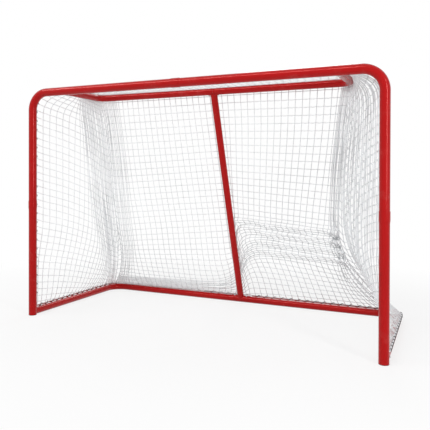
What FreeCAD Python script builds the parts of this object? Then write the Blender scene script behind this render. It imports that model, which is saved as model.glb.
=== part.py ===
"""A full-size ice hockey goal of plug-together painted steel tube with a knotted net.

Millimetres, +Z up, mouth facing -Y, origin on the ground under the middle of the goal's outline.
Every piece is modelled against the mouth line, the upright plane through the centres of the
posts and the crossbar, and then moved to the origin by its Placement.
"""
import FreeCAD, Part
import math
import os
import Sketcher

Vector = FreeCAD.Vector
Rotation = FreeCAD.Rotation

document = FreeCAD.newDocument("HockeyGoal")

# Driving dimensions
SIZES = [
    ("mouth_width", 1829.0),
    ("mouth_height", 1219.0),
    ("post_tube", 44.5),
    ("rear_tube", 38.1),
    ("tube_wall", 1.5),
    ("post_bend", 95.0),
    ("goal_depth", 825.0),
    ("base_half_width", 924.0),
    ("base_bend", 90.0),
    ("shelf_half_width", 738.0),
    ("shelf_depth", 380.0),
    ("shelf_bend", 60.0),
    ("post_lip", 640.0),
    ("crossbar_lip", 20.0),
    ("socket_depth", 38.0),
    ("socket_taper", 14.0),
    ("slip_clearance", 0.05),
    ("insert_length", 36.0),
    ("weld_gap", 0.2),
    ("seam_gap", 0.5),
    ("spigot_wall", 2.0),
    ("spigot_length", 50.0),
    ("splice_wall", 3.0),
    ("splice_half_length", 90.0),
    ("saddle_wall", 3.0),
    ("base_saddle_length", 116.0),
    ("shelf_saddle_length", 56.0),
    ("saddle_wrap", 150.0),
    ("shelf_saddle_wrap", 120.0),
    ("saddle_corner", 10.0),
    ("stub_reach", 82.0),
    ("brace_button_height", 52.0),
    ("rod_diameter", 5.0),
    ("rod_standoff", 8.0),
    ("standoff_radius", 2.0),
    ("plug_flange", 2.0),
    ("plug_depth", 22.0),
    ("plug_wall", 3.5),
    ("button_radius", 3.9),
    ("button_hole_radius", 4.0),
    ("button_flange_radius", 5.0),
    ("button_flange", 1.2),
    ("button_proud", 2.6),
    ("button_edge", 1.2),
    ("spring_strip", 0.8),
    ("spring_width", 7.0),
    ("spring_length", 46.0),
    ("spring_tail", 7.0),
    ("screw_radius", 3.0),
    ("screw_hole_radius", 3.2),
    ("screw_head_radius", 5.25),
    ("screw_head", 3.3),
    ("screw_socket_radius", 2.0),
    ("screw_length", 9.0),
    ("splice_screw_pitch", 38.0),
    ("joint_screw_reach", 50.0),
    ("net_thickness", 2.5),
    ("net_gap", 0.4),
    ("net_bar", 13.0),
    ("net_border", 9.0),
]

# Lengths and places that follow from the driving dimensions
DERIVED = [
    ("post_radius", "Sizes.post_tube / 2"),
    ("post_bore", "Derived.post_radius - Sizes.tube_wall"),
    ("rear_radius", "Sizes.rear_tube / 2"),
    ("rear_bore", "Derived.rear_radius - Sizes.tube_wall"),
    ("post_x", "Sizes.mouth_width / 2 + Derived.post_radius"),
    ("crossbar_z", "Sizes.mouth_height + Derived.post_radius"),
    ("shelf_z", "Derived.crossbar_z + Derived.post_radius - Derived.rear_radius"),
    ("post_centre_x", "Derived.post_x - Sizes.post_bend"),
    ("post_centre_z", "Derived.crossbar_z - Sizes.post_bend"),
    ("base_centre_x", "Sizes.base_half_width - Sizes.base_bend"),
    ("base_centre_y", "Sizes.goal_depth - Sizes.base_bend"),
    ("shelf_centre_x", "Sizes.shelf_half_width - Sizes.shelf_bend"),
    ("shelf_centre_y", "Sizes.shelf_depth - Sizes.shelf_bend"),
    ("socket_bore", "Derived.post_radius + Sizes.slip_clearance"),
    ("socket_radius", "Derived.socket_bore + Sizes.tube_wall"),
    ("socket_base", "Sizes.post_lip - Sizes.socket_depth - Sizes.socket_taper"),
    ("post_insert_z", "Sizes.post_lip - Sizes.insert_length"),
    ("post_button_z", "Sizes.post_lip - Sizes.socket_depth / 2"),
    ("crossbar_button_x", "-Sizes.crossbar_lip - Sizes.socket_depth / 2"),
    ("spigot_radius", "Derived.rear_bore - 2 * Sizes.slip_clearance"),
    ("spigot_bore", "Derived.spigot_radius - Sizes.spigot_wall"),
    ("splice_bore", "Derived.spigot_radius - Sizes.splice_wall"),
    ("base_front_y", "Derived.post_radius / 3"),
    ("base_run_x", "Derived.post_x - Derived.base_centre_x"),
    ("base_run_y", "Derived.base_centre_y - Derived.base_front_y"),
    ("base_run", "hypot(Derived.base_run_x; Derived.base_run_y)"),
    ("base_tilt", "atan(Derived.base_run_x / Derived.base_run_y) - asin(Sizes.base_bend / Derived.base_run)"),
    ("brace_rise", "Derived.shelf_z - Derived.rear_radius"),
    ("brace_run", "Sizes.goal_depth - Sizes.shelf_depth"),
    ("brace_lean", "atan(Derived.brace_run / Derived.brace_rise)"),
    ("brace_span", "hypot(Derived.brace_run; Derived.brace_rise)"),
    ("rod_radius", "Sizes.rod_diameter / 2"),
    ("rod_behind", "Derived.post_radius + Sizes.rod_standoff"),
    ("rod_diagonal", "(Derived.rear_radius + Sizes.rod_standoff) * sin(45)"),
    ("rod_front_y", "2 * Derived.post_radius"),
    ("rod_front_x", "Derived.post_x + Derived.rod_diagonal / cos(Derived.base_tilt)"
                    " - (Derived.rod_front_y - Derived.base_front_y) * tan(Derived.base_tilt)"),
    ("arm_clear", "Derived.rear_radius + 7"),
    ("mouth_line_y", "(Derived.socket_radius - Sizes.goal_depth - Derived.rod_diagonal"
                     " - Derived.rod_radius) / 2"),
]

# The net's back, from the shelf's lacing rod to the base's: depth behind the mouth line, height
HANG = [
    (402.0, 1260.6), (404.0, 1110.0), (406.0, 850.0), (412.0, 620.0), (424.0, 474.0),
    (560.0, 362.0), (700.0, 253.0), (795.0, 128.0), (841.0, 44.0),
]

# The net's corner, at the same steps: distance from the middle, depth, height
CORNER = [
    (736.0, 378.0, 1260.6), (712.0, 407.0, 1110.0), (684.0, 412.0, 850.0),
    (668.0, 424.0, 610.0), (664.0, 452.0, 464.0), (692.0, 534.0, 344.0),
    (752.0, 640.0, 232.0), (838.0, 752.0, 116.0), (899.0, 812.0, 44.0),
]


def make_sheet(name, rows):
    page = document.addObject("Spreadsheet::Sheet", name)
    for line, (alias, content) in enumerate(rows, 1):
        page.set(f"A{line}", alias)
        page.set(f"B{line}", str(content) if isinstance(content, float) else f"={content}")
        page.setAlias(f"B{line}", alias)
    return page


sizes_sheet = make_sheet("Sizes", SIZES)
derived_sheet = make_sheet("Derived", DERIVED)
document.recompute()


def number(text):
    """The present value of an expression over the two sheets."""
    found = derived_sheet.evalExpression(str(text))
    return float(getattr(found, "Value", found))


# Small helpers for bodies and sketches
def new_body(label):
    body = document.addObject("PartDesign::Body", label)
    body.Label = label
    return body


def place(piece, x="0", y="0", z="0", axis=(0, 0, 1), angle="0"):
    """Puts a piece where its joint is, y counted from the mouth line."""
    piece.Placement = FreeCAD.Placement(Vector(0, 0, 0), Rotation(Vector(*axis), number(angle)))
    piece.setExpression("Placement.Base.x", x)
    piece.setExpression("Placement.Base.y", f"Derived.mouth_line_y + {y}")
    piece.setExpression("Placement.Base.z", z)
    return piece


def new_sketch(body, name, role, level="0"):
    sketch = body.newObject("Sketcher::SketchObject", name)
    plane = next(part for part in body.Origin.OriginFeatures if part.Role == role)
    sketch.AttachmentSupport = [(plane, "")]
    sketch.MapMode = "FlatFace"
    sketch.setExpression("AttachmentOffset.Base.z", level)
    return sketch


def pin(sketch, geometry, vertex, across, up):
    """Fixes a sketch point at two expressions."""
    for kind, text in (("DistanceX", across), ("DistanceY", up)):
        rule = Sketcher.Constraint(kind, -1, 1, geometry, vertex, number(text))
        index = sketch.addConstraint(rule)
        sketch.setExpression(f"Constraints[{index}]", text)


def set_radius(sketch, geometry, text):
    index = sketch.addConstraint(Sketcher.Constraint("Radius", geometry, number(text)))
    sketch.setExpression(f"Constraints[{index}]", text)


def draw_outline(sketch, corners):
    """A closed outline of straight lines through corners given as expressions."""
    spots = [Vector(number(across), number(up), 0) for across, up in corners]
    for index, spot in enumerate(spots):
        sketch.addGeometry(Part.LineSegment(spot, spots[(index + 1) % len(spots)]), False)
    for index in range(len(spots)):
        sketch.addConstraint(Sketcher.Constraint("Coincident", index, 2, (index + 1) % len(spots), 1))
    for index, (across, up) in enumerate(corners):
        pin(sketch, index, 1, across, up)


def draw_rings(sketch, across, up, radii):
    for index, radius in enumerate(radii):
        centre = Vector(number(across), number(up), 0)
        sketch.addGeometry(Part.Circle(centre, Vector(0, 0, 1), number(radius)), False)
        pin(sketch, index, 3, across, up)
        set_radius(sketch, index, radius)


def draw_bend(sketch, start, centre, radius, end):
    """A straight run, a tangent bend and a second straight run."""
    first = Vector(number(start[0]), number(start[1]), 0)
    last = Vector(number(end[0]), number(end[1]), 0)
    middle = Vector(number(centre[0]), number(centre[1]), 0)
    size = number(radius)
    corner_side = (middle - first).normalize() + (middle - last).normalize()
    touches = [tangent_point(spot, middle, size, corner_side) for spot in (first, last)]
    angles = [math.atan2(spot.y - middle.y, spot.x - middle.x) for spot in touches]
    forward = (angles[1] - angles[0]) % (2 * math.pi) < math.pi
    span = angles if forward else angles[::-1]
    sketch.addGeometry(Part.LineSegment(first, touches[0]), False)
    circle = Part.Circle(middle, Vector(0, 0, 1), size)
    sketch.addGeometry(Part.ArcOfCircle(circle, span[0], span[1]), False)
    sketch.addGeometry(Part.LineSegment(touches[1], last), False)
    near, far = (1, 2) if forward else (2, 1)
    sketch.addConstraint(Sketcher.Constraint("Tangent", 0, 2, 1, near))
    sketch.addConstraint(Sketcher.Constraint("Tangent", 1, far, 2, 1))
    pin(sketch, 0, 1, *start)
    pin(sketch, 1, 3, *centre)
    pin(sketch, 2, 2, *end)
    set_radius(sketch, 1, radius)


def tangent_point(spot, centre, radius, side):
    """Where the line from a spot touches the circle, on the side of the corner."""
    reach = spot - centre
    turn = math.degrees(math.acos(radius / reach.Length))
    reach.normalize()
    rays = [Rotation(Vector(0, 0, 1), sign * turn).multVec(reach) for sign in (1, -1)]
    return centre + max(rays, key=lambda ray: ray.dot(side)) * radius


def add_pipe(body, name, path, section):
    document.recompute()
    pipe = body.newObject("PartDesign::AdditivePipe", name)
    pipe.Profile = section
    pipe.Spine = (path, [])
    return pipe


def add_turned(body, name, role, corners, axis="V_Axis"):
    """A turned form from an outline beside the body's own axis."""
    sketch = new_sketch(body, f"{name}Outline", role)
    draw_outline(sketch, corners)
    document.recompute()
    turned = body.newObject("PartDesign::Revolution", name)
    turned.Profile = sketch
    turned.ReferenceAxis = (sketch, [axis])
    turned.Angle = 360.0
    return turned


def add_round(body, name, kind, radius, height, at, direction=(0, 0, 1), angle="360"):
    """A cylinder added to a body or cut from it, starting at a point and running one way."""
    document.recompute()
    round_bar = body.newObject(f"PartDesign::{kind}Cylinder", name)
    round_bar.Placement = FreeCAD.Placement(
        Vector(*[number(text) for text in at]),
        Rotation(Vector(0, 0, 1), Vector(*direction)),
    )
    for side, text in zip("xyz", at):
        round_bar.setExpression(f"Placement.Base.{side}", text)
    round_bar.setExpression("Radius", radius)
    round_bar.setExpression("Height", height)
    round_bar.setExpression("Angle", angle)
    return round_bar


def cut_round(body, name, radius, height, at, direction=(0, 0, 1)):
    """Cuts a round hole or cope, and makes sure that it took material away."""
    document.recompute()
    before = body.Shape.Volume
    add_round(body, name, "Subtractive", radius, height, at, direction)
    document.recompute()
    if not body.Shape.Volume < before:
        raise RuntimeError(f"{body.Label}: {name} cut nothing")


def mirror(label, source):
    """The left-hand twin of a right-hand piece."""
    twin = document.addObject("Part::Mirroring", label)
    twin.Label = label
    twin.Source = source
    twin.Normal = Vector(1, 0, 0)
    return twin


def group(label, members):
    """Identical fasteners kept together as separate solids."""
    bunch = document.addObject("Part::Compound", label)
    bunch.Label = label
    bunch.Links = members
    return bunch


# The front frame: two bent halves that meet in the crossbar, on two straight lower posts
def upper_frame(label, side, crossbar_end):
    """A post's top, its bend and half of the crossbar, in one bent tube."""
    body = new_body(label)
    path = new_sketch(body, "Path", "XZ_Plane")
    draw_bend(
        path,
        (f"{side} * Derived.post_x", "Derived.post_insert_z"),
        (f"{side} * Derived.post_centre_x", "Derived.post_centre_z"),
        "Sizes.post_bend",
        (crossbar_end, "Derived.crossbar_z"),
    )
    section = new_sketch(body, "Section", "XY_Plane", "Derived.post_insert_z")
    draw_rings(section, f"{side} * Derived.post_x", "0", ["Derived.post_radius", "Derived.post_bore"])
    add_pipe(body, "Tube", path, section)
    cut_round(
        body, "PostButtonHole", "Sizes.button_hole_radius", "Derived.post_radius + 1",
        (f"{side} * Derived.post_x", "0", "Derived.post_button_z"), (0, 1, 0),
    )
    return body


def add_crossbar_socket(body):
    """The flared end that takes the other half's plain end."""
    lip = "-Sizes.crossbar_lip"
    shoulder = f"{lip} - Sizes.socket_depth"
    root = f"{shoulder} - Sizes.socket_taper"
    axis_z = "Derived.crossbar_z"
    sketch = new_sketch(body, "SocketOutline", "XZ_Plane")
    draw_outline(sketch, [
        (root, f"{axis_z} + Derived.post_bore"),
        (root, f"{axis_z} + Derived.post_radius"),
        (shoulder, f"{axis_z} + Derived.socket_radius"),
        (lip, f"{axis_z} + Derived.socket_radius"),
        (lip, f"{axis_z} + Derived.socket_bore"),
        (shoulder, f"{axis_z} + Derived.socket_bore"),
    ])
    centre = Part.LineSegment(Vector(-90, number(axis_z), 0), Vector(0, number(axis_z), 0))
    line = sketch.addGeometry(centre, True)
    pin(sketch, line, 1, root, axis_z)
    pin(sketch, line, 2, lip, axis_z)
    document.recompute()
    socket = body.newObject("PartDesign::Revolution", "Socket")
    socket.Profile = sketch
    socket.ReferenceAxis = (sketch, ["Axis0"])
    socket.Angle = 360.0


left_frame = upper_frame("left_upper_frame", "-1",
                         "-Sizes.crossbar_lip - Sizes.socket_depth - Sizes.socket_taper")
add_crossbar_socket(left_frame)
right_frame = upper_frame("right_upper_frame", "1", "-Sizes.crossbar_lip - Sizes.insert_length")
for frame_half in (left_frame, right_frame):
    cut_round(
        frame_half, "CrossbarButtonHole", "Sizes.button_hole_radius", "Derived.socket_radius + 1",
        ("Derived.crossbar_button_x", "0", "Derived.crossbar_z"), (0, 1, 0),
    )
    place(frame_half)

right_post = new_body("right_lower_post")
add_turned(right_post, "Tube", "XZ_Plane", [
    ("Derived.post_bore", "Sizes.plug_flange"),
    ("Derived.post_radius", "Sizes.plug_flange"),
    ("Derived.post_radius", "Derived.socket_base"),
    ("Derived.socket_radius", "Derived.socket_base + Sizes.socket_taper"),
    ("Derived.socket_radius", "Sizes.post_lip"),
    ("Derived.socket_bore", "Sizes.post_lip"),
    ("Derived.socket_bore", "Derived.socket_base + Sizes.socket_taper"),
    ("Derived.post_bore", "Derived.socket_base"),
])
cut_round(right_post, "ButtonHole", "Sizes.button_hole_radius", "Derived.socket_radius + 1",
          ("0", "0", "Derived.post_button_z"), (0, 1, 0))
place(right_post, x="Derived.post_x")
left_post = mirror("left_lower_post", right_post)

# The plug that closes the post's foot and stands on the ground
right_plug = new_body("right_foot_plug")
add_turned(right_plug, "Plug", "XZ_Plane", [
    ("0", "0"),
    ("Derived.post_radius - 1", "0"),
    ("Derived.post_radius", "1"),
    ("Derived.post_radius", "Sizes.plug_flange"),
    ("Derived.post_bore - 0.1", "Sizes.plug_flange"),
    ("Derived.post_bore - 0.1", "Sizes.plug_depth - 3"),
    ("Derived.post_bore - 1", "Sizes.plug_depth"),
    ("Derived.post_bore - Sizes.plug_wall", "Sizes.plug_depth"),
    ("Derived.post_bore - Sizes.plug_wall", "Sizes.plug_flange + 2"),
    ("0", "Sizes.plug_flange + 2"),
])
place(right_plug, x="Derived.post_x")
left_plug = mirror("left_foot_plug", right_plug)


# The rear tubes: base, shelf and brace
def rear_half(label, level, depth, centre, bend, end):
    """Half of a U-shaped rear tube, from the seam in the middle round its corner."""
    body = new_body(label)
    path = new_sketch(body, "Path", "XY_Plane", level)
    draw_bend(path, ("Sizes.seam_gap", depth), centre, bend, end)
    section = new_sketch(body, "Section", "YZ_Plane", "Sizes.seam_gap")
    draw_rings(section, depth, level, ["Derived.rear_radius", "Derived.rear_bore"])
    add_pipe(body, "Tube", path, section)
    return body


def along_brace(distance):
    """The offset of a point that far up the brace's line, as y and z expressions."""
    return (f"-({distance}) * sin(Derived.brace_lean)", f"({distance}) * cos(Derived.brace_lean)")


brace_way = (0, -math.sin(math.radians(number("Derived.brace_lean"))),
             math.cos(math.radians(number("Derived.brace_lean"))))
side_way = (math.cos(math.radians(number("Derived.base_tilt"))),
            math.sin(math.radians(number("Derived.base_tilt"))), 0)
run_way = (-side_way[1], side_way[0], 0)

base_bar = rear_half(
    "right_base_bar", "Derived.rear_radius", "Sizes.goal_depth",
    ("Derived.base_centre_x", "Derived.base_centre_y"), "Sizes.base_bend",
    ("Derived.post_x", "Derived.base_front_y"),
)
cut_round(base_bar, "PostCope", "Derived.post_radius + Sizes.weld_gap", "Sizes.rear_tube + 2",
          ("Derived.post_x", "0", "-1"))
cut_round(base_bar, "SaddleScrewHole", "Sizes.screw_hole_radius", "Sizes.rear_tube",
          ("Sizes.splice_screw_pitch", "Sizes.goal_depth", "Derived.rear_radius"), brace_way)
FOOT_SCREW = (
    "Derived.post_x - (Sizes.joint_screw_reach - Derived.base_front_y) * sin(Derived.base_tilt)",
    "Derived.base_front_y + (Sizes.joint_screw_reach - Derived.base_front_y)"
    " * cos(Derived.base_tilt)",
    "Derived.rear_radius",
)
cut_round(base_bar, "FootScrewHole", "Sizes.screw_hole_radius", "Sizes.rear_tube",
          FOOT_SCREW, side_way)
place(base_bar)
left_base_bar = mirror("left_base_bar", base_bar)

shelf_bar = rear_half(
    "right_shelf_bar", "Derived.shelf_z", "Sizes.shelf_depth",
    ("Derived.shelf_centre_x", "Derived.shelf_centre_y"), "Sizes.shelf_bend",
    ("Sizes.shelf_half_width", "0"),
)
cut_round(shelf_bar, "CrossbarCope", "Derived.post_radius + Sizes.weld_gap", "3 * Sizes.rear_tube",
          ("Sizes.shelf_half_width - 1.5 * Sizes.rear_tube", "0", "Derived.crossbar_z"), (1, 0, 0))
UNDER_REAR = (0, math.sqrt(0.5), -math.sqrt(0.5))
cut_round(shelf_bar, "SpliceScrewHole", "Sizes.screw_hole_radius", "Sizes.rear_tube",
          ("Sizes.splice_screw_pitch", "Sizes.shelf_depth", "Derived.shelf_z"), UNDER_REAR)
ARM_SCREW = ("Sizes.shelf_half_width", "Sizes.joint_screw_reach", "Derived.shelf_z")
cut_round(shelf_bar, "ArmScrewHole", "Sizes.screw_hole_radius", "Sizes.rear_tube",
          ARM_SCREW, (0, 0, -1))
place(shelf_bar)
left_shelf_bar = mirror("left_shelf_bar", shelf_bar)

brace = new_body("back_brace")
brace_end = "Derived.rear_radius + Sizes.saddle_wall + Sizes.weld_gap"
add_turned(brace, "Tube", "XZ_Plane", [
    ("Derived.rear_bore", "Derived.rear_radius / 2"),
    ("Derived.rear_radius", "Derived.rear_radius / 2"),
    ("Derived.rear_radius", "Derived.brace_span - Derived.rear_radius / 2"),
    ("Derived.rear_bore", "Derived.brace_span - Derived.rear_radius / 2"),
])
for name, height in (("BaseCope", "0"), ("ShelfCope", "Derived.brace_span")):
    cut_round(brace, name, brace_end, "3 * Sizes.rear_tube",
              ("-1.5 * Sizes.rear_tube", "0", height), (1, 0, 0))
for name, height in (("LowButtonHole", "Sizes.brace_button_height"),
                     ("TopButtonHole", "Derived.brace_span - Sizes.brace_button_height")):
    cut_round(brace, name, "Sizes.button_hole_radius", "Sizes.rear_tube",
              ("0", "0", height), (1, 0, 0))
place(brace, y="Sizes.goal_depth", z="Derived.rear_radius", axis=(1, 0, 0), angle="Derived.brace_lean")


# Spigots welded to the front frame, which the rear tubes slide over
def spigot(label, at, way, cope_at, cope_way, screw_at, screw_way):
    body = new_body(label)
    add_round(body, "Stub", "Additive", "Derived.spigot_radius",
              "Derived.post_radius + Sizes.spigot_length", at, way)
    cut_round(body, "Bore", "Derived.spigot_bore", "2 * Derived.post_radius + Sizes.spigot_length",
              at, way)
    cut_round(body, "Cope", "Derived.post_radius", "3 * Sizes.rear_tube", cope_at, cope_way)
    cut_round(body, "TappedHole", "Sizes.screw_radius", "Sizes.rear_tube", screw_at, screw_way)
    place(body)
    return body


foot_spigot = spigot(
    "right_foot_spigot",
    ("Derived.post_x", "Derived.base_front_y", "Derived.rear_radius"), run_way,
    ("Derived.post_x", "0", "-Derived.rear_radius"), (0, 0, 1), FOOT_SCREW, side_way,
)
left_foot_spigot = mirror("left_foot_spigot", foot_spigot)
shelf_spigot = spigot(
    "right_shelf_spigot",
    ("Sizes.shelf_half_width", "0", "Derived.shelf_z"), (0, 1, 0),
    ("Sizes.shelf_half_width - 1.5 * Sizes.rear_tube", "0", "Derived.crossbar_z"), (1, 0, 0),
    ARM_SCREW, (0, 0, -1),
)
left_shelf_spigot = mirror("left_shelf_spigot", shelf_spigot)


# Sleeves that join the two halves of a rear tube from inside
def splice_sleeve(label, depth, level, screw_way):
    body = new_body(label)
    sketch = new_sketch(body, "Section", "YZ_Plane", "-Sizes.splice_half_length")
    draw_rings(sketch, depth, level, ["Derived.spigot_radius", "Derived.splice_bore"])
    document.recompute()
    sleeve = body.newObject("PartDesign::Pad", "Sleeve")
    sleeve.Profile = sketch
    sleeve.setExpression("Length", "2 * Sizes.splice_half_length")
    for name, sign in (("RightTappedHole", ""), ("LeftTappedHole", "-")):
        cut_round(body, name, "Sizes.screw_radius", "Sizes.rear_tube",
                  (f"{sign}Sizes.splice_screw_pitch", depth, level), screw_way)
    place(body)
    return body


base_splice = splice_sleeve("base_splice_sleeve", "Sizes.goal_depth", "Derived.rear_radius", brace_way)
shelf_splice = splice_sleeve("shelf_splice_sleeve", "Sizes.shelf_depth", "Derived.shelf_z", UNDER_REAR)


# Saddles: a plate curved over the bar, with the stub that the brace slides over
def saddle(label, length, wrap, screw_pitch):
    body = new_body(label)
    half = f"({length}) / 2"
    add_round(body, "Stub", "Additive", "Derived.spigot_radius",
              "Sizes.stub_reach - Derived.rear_radius / 2", ("0", "0", "Derived.rear_radius / 2"))
    add_round(body, "Plate", "Additive", "Derived.rear_radius + Sizes.saddle_wall", length,
              (f"-{half}", "0", "0"), (1, 0, 0), wrap)
    plate = body.Tip
    turn = Rotation(Vector(1, 0, 0), 90 - number(wrap) / 2)
    lay = Rotation(Vector(0, 1, 0), Vector(0, 0, 1), Vector(1, 0, 0))
    plate.Placement = FreeCAD.Placement(Vector(-number(half), 0, 0), turn * lay)
    document.recompute()
    cut_round(body, "StubBore", "Derived.spigot_bore", "2 * Sizes.stub_reach", ("0", "0", "0"))
    cut_round(body, "BarClearance", "Derived.rear_radius + Sizes.slip_clearance", f"{length} + 40",
              (f"-{half} - 20", "0", "0"), (1, 0, 0))
    cut_round(body, "ButtonHole", "Sizes.button_hole_radius", "Sizes.rear_tube",
              ("0", "0", "Sizes.brace_button_height"), (1, 0, 0))
    for name, sign in screw_pitch:
        cut_round(body, name, "Sizes.screw_hole_radius", "2 * Sizes.rear_tube",
                  (f"{sign}Sizes.splice_screw_pitch", "0", "0"))
    corners = []
    end_x = number(half)
    for index, edge in enumerate(body.Shape.Edges, 1):
        middle = edge.valueAt((edge.FirstParameter + edge.LastParameter) / 2)
        if abs(abs(middle.x) - end_x) < 0.01 and abs(edge.Length - number("Sizes.saddle_wall")) < 0.2:
            corners.append(f"Edge{index}")
    bored = body.Tip
    fillet = body.newObject("PartDesign::Fillet", "RoundedCorners")
    fillet.Base = (bored, corners)
    fillet.setExpression("Radius", "Sizes.saddle_corner")
    return body


base_saddle = saddle("base_saddle", "Sizes.base_saddle_length", "Sizes.saddle_wrap",
                     [("RightScrewHole", ""), ("LeftScrewHole", "-")])
place(base_saddle, y="Sizes.goal_depth", z="Derived.rear_radius", axis=(1, 0, 0),
      angle="Derived.brace_lean")
shelf_saddle = saddle("shelf_saddle", "Sizes.shelf_saddle_length", "Sizes.shelf_saddle_wrap", [])
place(shelf_saddle, y="Sizes.shelf_depth", z="Derived.shelf_z", axis=(1, 0, 0),
      angle="Derived.brace_lean - 180 deg")


# Screws: button heads with a hexagon socket, into the tapped sleeve or spigot
def screw(name, head_at, way, seat="0"):
    """One screw whose head stands a seat height above the rear tube's surface."""
    body = new_body(name)
    seat_at = f"Derived.rear_radius + {seat}"
    add_turned(body, "Screw", "XZ_Plane", [
        ("0", f"{seat_at} - Sizes.screw_length"),
        ("Sizes.screw_radius - 0.6", f"{seat_at} - Sizes.screw_length"),
        ("Sizes.screw_radius", f"{seat_at} - Sizes.screw_length + 0.6"),
        ("Sizes.screw_radius", seat_at),
        ("Sizes.screw_head_radius", seat_at),
        ("Sizes.screw_head_radius", f"{seat_at} + Sizes.screw_head * 0.35"),
        ("Sizes.screw_head_radius * 0.8", f"{seat_at} + Sizes.screw_head * 0.8"),
        ("Sizes.screw_head_radius * 0.5", f"{seat_at} + Sizes.screw_head"),
        ("0", f"{seat_at} + Sizes.screw_head"),
    ])
    sketch = new_sketch(body, "SocketOutline", "XY_Plane", f"{seat_at} + Sizes.screw_head")
    reach = "Sizes.screw_socket_radius"
    draw_outline(sketch, [(f"{reach} * cos({turn})", f"{reach} * sin({turn})")
                          for turn in range(0, 360, 60)])
    document.recompute()
    before = body.Shape.Volume
    pocket = body.newObject("PartDesign::Pocket", "HexagonSocket")
    pocket.Profile = sketch
    pocket.setExpression("Length", "Sizes.screw_head * 0.6")
    document.recompute()
    if not body.Shape.Volume < before:
        raise RuntimeError(f"{name}: the socket cut nothing")
    body.Placement = FreeCAD.Placement(Vector(0, 0, 0), Rotation(Vector(0, 0, 1), Vector(*way)))
    body.setExpression("Placement.Base.x", head_at[0])
    body.setExpression("Placement.Base.y", f"Derived.mouth_line_y + {head_at[1]}")
    body.setExpression("Placement.Base.z", head_at[2])
    return body


def screw_pair(label, head_at, way, seat="0"):
    right_screw = screw(f"{label}_right", head_at, way, seat)
    return group(label, [right_screw, mirror(f"{label}_left", right_screw)])


base_screws = screw_pair(
    "base_splice_screws", ("Sizes.splice_screw_pitch", "Sizes.goal_depth", "Derived.rear_radius"),
    brace_way, "Sizes.saddle_wall + 0.2",
)
shelf_screws = screw_pair(
    "shelf_splice_screws", ("Sizes.splice_screw_pitch", "Sizes.shelf_depth", "Derived.shelf_z"),
    UNDER_REAR, "0.3",
)
foot_screws = screw_pair("foot_joint_screws", FOOT_SCREW, side_way, "0.3")
arm_screws = screw_pair("arm_joint_screws", ARM_SCREW, (0, 0, -1), "0.3")


# Snap buttons: each springs out through the holes of two tubes and locks them
def snap_button(label, bore, outer, at, way):
    """A button turned about its own travel, with a flange that stops it inside the tube."""
    body = new_body(label)
    seat = f"sqrt({bore} * {bore} - Sizes.button_flange_radius * Sizes.button_flange_radius) - 0.05"
    tip = f"{outer} + Sizes.button_proud"
    add_turned(body, "Button", "XZ_Plane", [
        ("0", f"{seat} - Sizes.button_flange"),
        ("Sizes.button_flange_radius", f"{seat} - Sizes.button_flange"),
        ("Sizes.button_flange_radius", seat),
        ("Sizes.button_radius", seat),
        ("Sizes.button_radius", f"{tip} - Sizes.button_edge"),
        ("Sizes.button_radius - 0.35 * Sizes.button_edge", f"{tip} - 0.35 * Sizes.button_edge"),
        ("Sizes.button_radius - Sizes.button_edge", tip),
        ("0", tip),
    ])
    place(body, *at)
    turn = Rotation(Vector(0, 0, 1), Vector(*way))
    body.Placement = FreeCAD.Placement(body.Placement.Base, turn)
    return body


def snap_spring(label, bore, at, out_way, along_way):
    """A folded strip: one leg behind the button, the other against the opposite wall."""
    body = new_body(label)
    front = (f"sqrt({bore} * {bore} - Sizes.button_flange_radius * Sizes.button_flange_radius)"
             " - Sizes.button_flange - 0.15")
    rear = f"-sqrt({bore} * {bore} - Sizes.spring_width * Sizes.spring_width / 4) + 0.2"
    strip = "Sizes.spring_strip"
    tail = "-Sizes.spring_tail"
    fold = "Sizes.spring_length"
    sketch = new_sketch(body, "StripOutline", "XZ_Plane")
    draw_outline(sketch, [
        (front, tail),
        (front, "Sizes.spring_tail"),
        (f"3 * {strip}", fold),
        (f"2 * {strip}", f"{fold} + 1.5 * {strip}"),
        ("0", f"{fold} + 2 * {strip}"),
        (f"-2 * {strip}", f"{fold} + 1.5 * {strip}"),
        (f"-3 * {strip}", fold),
        (rear, tail),
        (f"{rear} + {strip}", tail),
        (f"-2 * {strip}", fold),
        ("0", f"{fold} + {strip}"),
        (f"2 * {strip}", fold),
        (f"{front} - {strip}", "Sizes.spring_tail"),
        (f"{front} - {strip}", tail),
    ])
    document.recompute()
    leaf = body.newObject("PartDesign::Pad", "Strip")
    leaf.Profile = sketch
    leaf.Midplane = True
    leaf.setExpression("Length", "Sizes.spring_width")
    place(body, *at)
    across = Vector(*along_way).cross(Vector(*out_way))
    turn = Rotation(Vector(*out_way), across, Vector(*along_way))
    body.Placement = FreeCAD.Placement(body.Placement.Base, turn)
    return body


def brace_spot(distance):
    """The placement, y from the mouth line, of a point up the brace."""
    back, up = along_brace(distance)
    return ("0", f"Sizes.goal_depth + {back}", f"Derived.rear_radius + {up}")


post_spot = ("Derived.post_x", "0", "Derived.post_button_z")
crossbar_spot = ("Derived.crossbar_button_x", "0", "Derived.crossbar_z")
low_spot = brace_spot("Sizes.brace_button_height")
top_spot = brace_spot("Derived.brace_span - Sizes.brace_button_height")
brace_down = tuple(-part for part in brace_way)
rearward = (0, 1, 0)
rightward = (1, 0, 0)

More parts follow.
